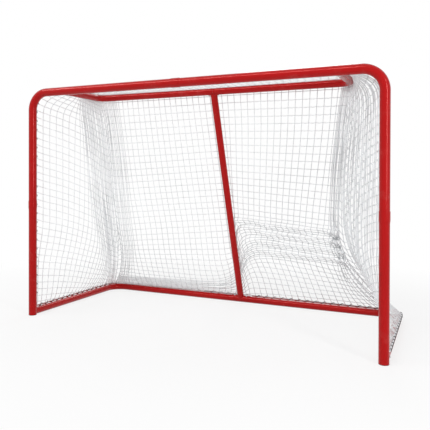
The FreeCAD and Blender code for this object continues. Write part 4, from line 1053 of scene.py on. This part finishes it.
class HOCKEY_OT_lacing(Operator):
    """Lace the net to its rods"""
    bl_idname = "hockey.lacing"
    bl_label = "Lacing"

    def execute(self, context):
        sizes = context.scene.hockey_lacing
        cord = braided_cord("grey_lacing_cord", sizes.colour, 0.0026, 0.6, 0.2)
        front, _ = front_line(EDGE / 2, ARM_X + 0.01)
        base, _ = base_line(EDGE / 2)
        shelf, _ = shelf_line(EDGE / 2, SHELF_DROP / 2)
        crossbar = np.array([(x, FRONT_ROD_Y + EDGE / 2, CROSSBAR_Z) for x in (0.012, 0.708)])
        for name, runs in (
                ("post_lacing", ((front, 0.0, 0.44, "in"), (front, 0.475, 0.99, "in"),
                                 (crossbar, 0.0, 1.0, "in"))),
                ("shelf_lacing", ((shelf, 0.014, 0.99, "out"),)),
                ("base_lacing", ((base, 0.045, 0.99, "in_flat"),))):
            points, facing, edges = [], [], []
            for side in (1.0, -1.0):
                for line, low, high, way in runs:
                    part = along(line, np.linspace(low, high, 90))
                    edges += chain(len(points), len(part))
                    points.extend(part * np.array([side, 1.0, 1.0]))
                    facing.extend(self.facing(part, way) * np.array([side, 1.0, 1.0]))
            piece = line_mesh(name, points, edges, "facing", facing)
            grown(piece, lacing_tree(), {"Pitch": sizes.pitch, "Cord": sizes.cord,
                                         "Width": EDGE / 2 + ROD_R + sizes.cord / 2 + 0.0002,
                                         "Depth": ROD_R + sizes.cord / 2, "Material": cord})
            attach(piece, BODY)
        return {"FINISHED"}

    @staticmethod
    def facing(points, way):
        """The side of each point that shows: inside the mouth, outside the shelf or inside the base."""
        run = unit(np.gradient(points, axis=0))
        if way == "in":
            side = np.cross(run, np.array([0.0, 1.0, 0.0]))
            aim = np.array([0.0, 0.0, 0.6]) - points
        else:
            side = np.cross(run, np.array([0.0, 0.0, 1.0]))
            aim = np.array([0.0, MOUTH + 0.2, 0.0]) - points
            if way == "out":
                aim = -aim
        return side * np.sign((side * aim).sum(1, keepdims=True))


class HOCKEY_OT_stage(Operator):
    """Set the floor, the lights and the camera"""
    bl_idname = "hockey.stage"
    bl_label = "Studio"

    def execute(self, context):
        sizes = context.scene.hockey_studio
        self.floor()
        self.world(sizes.daylight)
        for lamp in LAMPS:
            self.lamp(*lamp)
        self.camera(sizes)
        context.scene.view_settings.view_transform = "Standard"
        return {"FINISHED"}

    @staticmethod
    def floor():
        """A pale floor that fades to the white background away from the goal."""
        corners = [(-30, -30, 0), (30, -30, 0), (30, 30, 0), (-30, 30, 0)]
        floor = new_object("studio_floor", new_mesh("studio_floor", corners, (), [(0, 1, 2, 3)]))
        material, tree, shader = new_material("pale_studio_floor")
        fill(tree, shader, {"Base Color": (0.82, 0.82, 0.82, 1), "Roughness": 0.9, "Specular IOR Level": 0.0})
        far = vector_node(tree, "LENGTH", object_place(tree))
        share = ranged(tree, far, 0.75, 1.0, 0.8, 2.4)
        white = add_node(tree, "ShaderNodeEmission", {"Color": (1, 1, 1, 1), "Strength": 1.0})
        mixed = add_node(tree, "ShaderNodeMixShader", {
            0: math_node(tree, "MULTIPLY", share, background_rays(tree)), 1: shader.outputs[0],
            2: white.outputs[0]})
        fill(tree, tree.nodes["Material Output"], {"Surface": mixed.outputs[0]})
        floor.data.materials.append(material)

    @staticmethod
    def world(strength):
        """Even light all round, in front of a white background."""
        world = bpy.data.worlds.new("studio_light")
        bpy.context.scene.world = world
        world.use_nodes = True
        tree = world.node_tree
        fill(tree, tree.nodes["Background"], {
            "Color": (1, 1, 1, 1), "Strength": ranged(tree, background_rays(tree), strength)})

    @staticmethod
    def lamp(name, place, target, size, power):
        data = bpy.data.lights.new(name, "AREA")
        data.shape = "RECTANGLE"
        data.size, data.size_y = size
        data.energy = power
        lamp = new_object(name, data)
        lamp.location = place
        lamp.rotation_euler = (Vector(target) - Vector(place)).to_track_quat("-Z", "Y").to_euler()

    @staticmethod
    def camera(sizes):
        data = bpy.data.cameras.new("camera")
        data.lens = sizes.lens
        data.sensor_width = CAMERA_SENSOR
        data.shift_x, data.shift_y = CAMERA_SHIFT
        data.clip_end = 100.0
        camera = new_object("camera", data)
        camera.matrix_world = Matrix.Translation(sizes.place)
        for turn, axis in ((sizes.yaw, "Z"), (math.pi / 2 + sizes.pitch, "X"), (sizes.roll, "Z")):
            camera.matrix_world = camera.matrix_world @ Matrix.Rotation(turn, 4, axis)
        bpy.context.scene.camera = camera


STEPS = (HOCKEY_OT_paint_frame, HOCKEY_OT_finish_hardware, HOCKEY_OT_leaf_springs, HOCKEY_OT_hang_net,
         HOCKEY_OT_edge_cords, HOCKEY_OT_lacing, HOCKEY_OT_stage)
GROUPS = {"hockey_finish": FinishColours, "hockey_netting": NettingSizes, "hockey_lacing": LacingSizes,
          "hockey_studio": StudioSizes}


class HOCKEY_PT_goal(Panel):
    """The goal's sizes and colours, and its steps in order"""
    bl_idname = "HOCKEY_PT_goal"
    bl_label = "Hockey goal"
    bl_space_type = "VIEW_3D"
    bl_region_type = "UI"
    bl_category = "Hockey goal"

    def draw(self, context):
        for name in GROUPS:
            group, box = getattr(context.scene, name), self.layout.box()
            for value in group.__annotations__:
                box.prop(group, value)
        for step in STEPS:
            self.layout.operator(step.bl_idname)


def register():
    for part in (*GROUPS.values(), *STEPS, HOCKEY_PT_goal):
        bpy.utils.register_class(part)
    for name, group in GROUPS.items():
        setattr(bpy.types.Scene, name, PointerProperty(type=group))


def unregister():
    for name in GROUPS:
        delattr(bpy.types.Scene, name)
    for part in reversed((*GROUPS.values(), *STEPS, HOCKEY_PT_goal)):
        bpy.utils.unregister_class(part)


def main():
    register()
    for step in STEPS:
        family, name = step.bl_idname.split(".")
        getattr(getattr(bpy.ops, family), name)()


if __name__ == "__main__":
    main()
